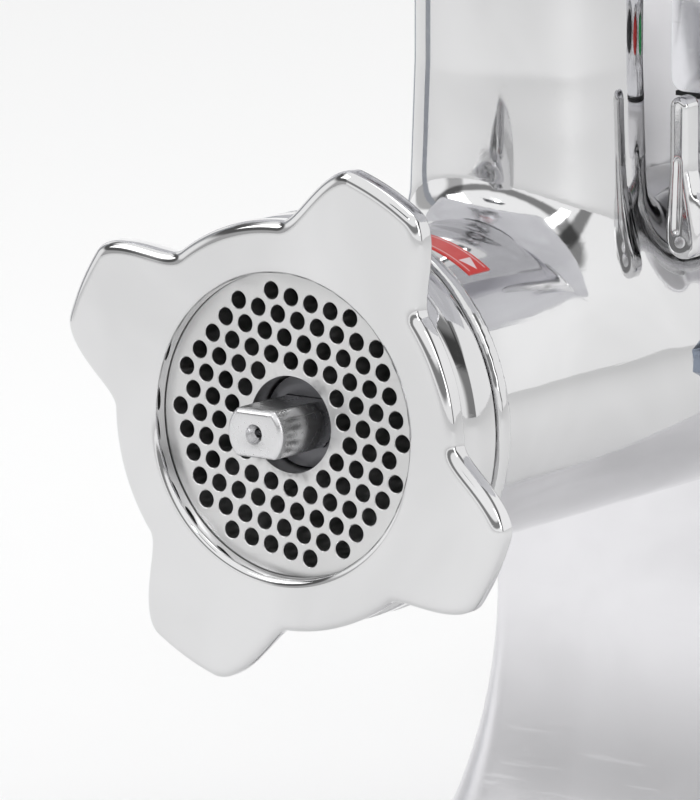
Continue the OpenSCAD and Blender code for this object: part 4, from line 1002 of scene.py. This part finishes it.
def leverField(p, side, front):
    v = leverLook
    x, y, z = p[..., 0] * side - v["x"], p[..., 1], p[..., 2] - v["z"]
    rise = np.clip((z + 6) / (v["length"] + 6), 0, 1)
    # the handle narrows upwards and its left side stays nearly straight
    half = 4.9 - 2.1 * np.clip(rise * 1.9, 0, 1) ** 1.4
    middle = 0.7 - 1.15 * np.clip(rise * 1.7, 0, 1)
    near = np.clip(z, -5.6, v["length"])
    radial = np.hypot(x - middle, z - near) - half
    slab = np.abs(y - front - v["thick"] / 2) - v["thick"] / 2
    r = 1.8
    a, b = radial + r, slab + r
    handle = np.hypot(np.maximum(a, 0), np.maximum(b, 0)) + np.minimum(np.maximum(a, b), 0) - r
    hub = barField(p * np.array([side, 1, 1]), 1, (v["x"] + 1.6, v["z"] - 0.5), 6.4, front + 2, front + v["thick"] + 5, 1.2)
    solid = roundUnion(handle, hub, 2.0)
    # a shallow groove runs up the front
    grooveZ = np.clip(z, -3.0, 14.0)
    groove = np.hypot(x + 0.6 - 0.03 * grooveZ, np.hypot(y - front + 0.35, z - grooveZ) ) - 1.0
    return roundCut(solid, groove, 0.35)


for side, word in ((1, "right"), (-1, "left")):
    node = "clamp_lever_" + word
    low, high = span(node)
    shape = meshFromField(node + "Shape", lambda p: leverField(p, side, low[1]), low - 3, high + 3, leverLook["voxel"], 0.05)
    addPiece(node + "_cast", shape, node, smoothAngle=60)
    softCopy("lever_pin_" + word, 0.25)
    softCopy("clamp_screw_" + word, 0.4)
print("clamp levers are cast")

# ---- label with the arrow

labelLook = {"r": 40.75, "from": 55.0, "to": 105.0, "y0": 43.5, "y1": 52.5, "lift": 0.22, "steps": 60}


def makeLabelFinish():
    material = makeFinish("arrowLabel", finishes["red_label"])
    tree = material.node_tree
    shader = tree.nodes["Principled BSDF"]
    uv = tree.nodes.new("ShaderNodeUVMap")
    uv.uv_map = "labelMap"
    split = tree.nodes.new("ShaderNodeSeparateXYZ")
    tree.links.new(uv.outputs[0], split.inputs[0])
    along, across = split.outputs["X"], mathNode(tree, "ABSOLUTE", split.outputs["Y"])
    # a thin pale frame line inside the edge
    outer = mathNode(tree, "MULTIPLY", rampNode(tree, across, 3.0, 3.15), rampNode(tree, across, 3.45, 3.6, 1.0, 0.0))
    frameLine = mathNode(tree, "MULTIPLY", mathNode(tree, "MULTIPLY", outer, rampNode(tree, along, 0.9, 1.1)), 0.7)
    # a solid pale head whose tip is near the label's low end
    headHalf = mathNode(tree, "MULTIPLY", mathNode(tree, "SUBTRACT", along, 1.0), 0.55)
    inHead = rampNode(tree, mathNode(tree, "SUBTRACT", headHalf, across), -0.08, 0.08)
    inHead = mathNode(tree, "MULTIPLY", inHead, rampNode(tree, along, 5.4, 5.6, 1.0, 0.0))
    pale = mathNode(tree, "MAXIMUM", frameLine, inHead, True)
    mix = tree.nodes.new("ShaderNodeMix")
    mix.data_type = "RGBA"
    mix.inputs["A"].default_value = (0.62, 0.035, 0.03, 1)
    mix.inputs["B"].default_value = (0.80, 0.66, 0.68, 1)
    tree.links.new(pale, mix.inputs["Factor"])
    tree.links.new(mix.outputs["Result"], shader.inputs["Base Color"])
    return material


def makeLabel(look):
    angles = np.radians(np.linspace(look["from"], look["to"], look["steps"]))
    rows = [(look["r"] - 0.1, look["y0"]), (look["r"] + look["lift"], look["y0"] + 0.1),
            (look["r"] + look["lift"], (look["y0"] + look["y1"]) / 2), (look["r"] + look["lift"], look["y1"] - 0.1),
            (look["r"] - 0.1, look["y1"])]
    points, faces = [], []
    for a in angles:
        points += [(r * math.cos(a), y, r * math.sin(a)) for r, y in rows]
    n = len(rows)
    for i in range(len(angles) - 1):
        faces += [(i * n + k, i * n + (k + 1) % n, (i + 1) * n + (k + 1) % n, (i + 1) * n + k) for k in range(n)]
    faces += [tuple(range(n - 1, -1, -1)), tuple((len(angles) - 1) * n + k for k in range(n))]
    mesh = bpy.data.meshes.new("labelShape")
    mesh.from_pydata(toRow(points).tolist(), [], faces)
    tidyMesh(mesh)
    layer = mesh.uv_layers.new(name="labelMap")
    middle = (look["y0"] + look["y1"]) / 2
    for loop in mesh.loops:
        x, y, z = (np.array(mesh.vertices[loop.vertex_index].co) - headOrigin) / mm
        layer.data[loop.index].uv = (look["r"] * (math.atan2(z, x) - angles[0]), y - middle)
    mesh.materials.append(makeLabelFinish())
    return mesh


addPiece("arrow_label", makeLabel(labelLook), "rotation_arrow", smoothAngle=40)

# ---- switch box, buttons and small turned parts

softCopy("control_box", 1.0, 3)
for node in ("side_plug", "control_screws", "button_bezels", "start_button", "stop_button", "reverse_button", "cable_gland",
             "cover_screws", "base_screws", "gearcase_screws", "bearing_plate_screws", "contact_blocks", "output_key",
             "plate_key"):
    softCopy(node, 0.4)
for node in ("motor_cover", "rear_cover"):
    softCopy(node, 0.3, 1)
print("switch box and covers are finished")

# ---- feed tray: one folded sheet with a rolled rim and a collar

trayLow, trayHigh = span("feed_tray")
trayLook = {"halfW": trayHigh[0], "y0": trayLow[1], "y1": trayHigh[1], "floor": 118.0, "top": trayHigh[2], "sheet": 1.2,
            "rim": 6.0, "corner": 30.0, "collarIn": 29.8, "collarOut": 31.3, "holeR": 26.0, "centreY": 104.0,
            "collarEnd": trayLow[2], "foot": 9.0, "steps": 240}


def trayRing(look, inset, z):
    # the rounded rectangle, drawn as seen from the throat so that it can shrink into a circle
    angle = np.linspace(0, 2 * math.pi, look["steps"], endpoint=False)
    midY = (look["y0"] + look["y1"]) / 2
    halfX, halfY = look["halfW"] - inset, (look["y1"] - look["y0"]) / 2 - inset
    r = max(1.0, look["corner"] - inset)
    directions = np.stack([np.cos(angle), np.sin(angle)], 1)
    start = np.array([0.0, look["centreY"] - midY])
    low, high = np.zeros(len(angle)), np.full(len(angle), 400.0)
    for _ in range(40):
        mid = (low + high) / 2
        q = np.abs(start + directions * mid[:, None]) - np.array([halfX - r, halfY - r])
        d = np.hypot(np.maximum(q[:, 0], 0), np.maximum(q[:, 1], 0)) + np.minimum(np.maximum(q[:, 0], q[:, 1]), 0) - r
        low, high = np.where(d < 0, mid, low), np.where(d < 0, high, mid)
    flat = directions * low[:, None]
    return np.stack([flat[:, 0], flat[:, 1] + look["centreY"], np.full(len(angle), z)], 1)


def trayCircle(look, r, z):
    angle = np.linspace(0, 2 * math.pi, look["steps"], endpoint=False)
    return np.stack([r * np.cos(angle), look["centreY"] + r * np.sin(angle), np.full(len(angle), z)], 1)


def makeTray(look):
    t, foot, rim = look["sheet"], look["foot"], look["rim"]
    floor, top = look["floor"], look["top"]
    rings = [trayCircle(look, look["holeR"], floor), trayCircle(look, look["holeR"], floor + t * 0.7),
             trayCircle(look, look["holeR"] + 0.5, floor + t)]
    start, end = trayCircle(look, look["collarOut"] + 2, floor + t), trayRing(look, rim + t + foot, floor + t)
    rings += [start * (1 - k) + end * k for k in (0.0, 0.33, 0.66, 1.0)]
    for k in range(1, 7):
        a = math.radians(90 * k / 6)
        rings.append(trayRing(look, rim + t + foot * (1 - math.sin(a)), floor + t + foot * (1 - math.cos(a))))
    rings.append(trayRing(look, rim + t, top - 3.0))
    # the rolled rim
    roll = (rim + t) / 2
    for k in range(1, 10):
        a = math.radians(180 * k / 9)
        rings.append(trayRing(look, rim + t - roll + roll * math.cos(a), top - 2.4 + 2.4 * math.sin(a)))
    rings.append(trayRing(look, 0.0, top - 5.5))
    rings += [trayRing(look, 0.9, top - 6.0), trayRing(look, 1.3, top - 5.0), trayRing(look, 1.3, top - 3.0),
              trayRing(look, rim * 0.6, top - 2.2), trayRing(look, rim, top - 4.5)]
    for k in range(6, -1, -1):
        a = math.radians(90 * k / 6)
        rings.append(trayRing(look, rim + (foot + t) * (1 - math.sin(a)), floor + (foot + t) * (1 - math.cos(a))))
    last = rings[-1]
    outer = trayCircle(look, look["collarOut"] + 1.5, floor)
    rings += [last * (1 - k) + outer * k for k in (0.33, 0.66, 1.0)]
    rings += [trayCircle(look, look["collarOut"] + 0.4, floor - 0.5), trayCircle(look, look["collarOut"], floor - 1.6),
              trayCircle(look, look["collarOut"], look["collarEnd"] + 0.5), trayCircle(look, look["collarOut"] - 0.4, look["collarEnd"]),
              trayCircle(look, look["collarIn"] + 0.4, look["collarEnd"]), trayCircle(look, look["collarIn"], look["collarEnd"] + 0.5),
              trayCircle(look, look["collarIn"], floor - 0.05), trayCircle(look, look["holeR"] + 0.6, floor - 0.02)]
    return meshFromRings("trayShape", rings)


addPiece("folded_tray", makeTray(trayLook), "feed_tray", smoothAngle=45)

# ---- pusher and feet

pusherLow, pusherHigh = span("pusher")
pusherMid = (pusherLow + pusherHigh) / 2
pusherLook = {"stemR": 24.0, "stemTop": pusherHigh[2] - pusherLow[2] - 40, "height": pusherHigh[2] - pusherLow[2], "neckR": 12.0,
              "knobR": 28.0}


def makePusher(look):
    h, base = look["height"], pusherLow[2]
    corners = [(0.01, 0), (look["stemR"], 0), (look["stemR"], look["stemTop"]), (look["neckR"], look["stemTop"] + 6),
               (look["neckR"], h - 26), (look["knobR"], h - 20), (look["knobR"], h - 8), (18, h - 0.3), (0.01, h)]
    profile = roundedProfile(corners, [0, 3, 2.5, 6, 6, 6, 7, 8, 0], 5)
    return lathe("pusherShape", [(r, z + base) for r, z in profile], (pusherMid[0], pusherMid[1], 0), "z", 96)


addPiece("turned_pusher", makePusher(pusherLook), "pusher", smoothAngle=40)


def makeFeet():
    low, high = span("rubber_feet")
    height = high[2] - low[2]
    corners = [(6, 3), (6, 0), (11, 0), (13, height - 3), (13, height), (2.5, height), (2.5, height - 6), (0.01, height - 6),
               (0.01, 3)]
    profile = roundedProfile(corners, [0.3, 0.8, 1.4, 0.8, 0.8, 0.4, 0.4, 0, 0], 4)
    bm = bmesh.new()
    for x in (low[0] + 13, high[0] - 13):
        for y in (low[1] + 13, high[1] - 13):
            foot = lathe("footShape", [(r, z + low[2]) for r, z in profile], (x, y, 0), "z", 64)
            bm.from_mesh(foot)
    mesh = bpy.data.meshes.new("feetShape")
    bm.to_mesh(mesh)
    bm.free()
    return mesh


addPiece("moulded_feet", makeFeet(), "rubber_feet", smoothAngle=35)
print("tray, pusher and feet are in place")
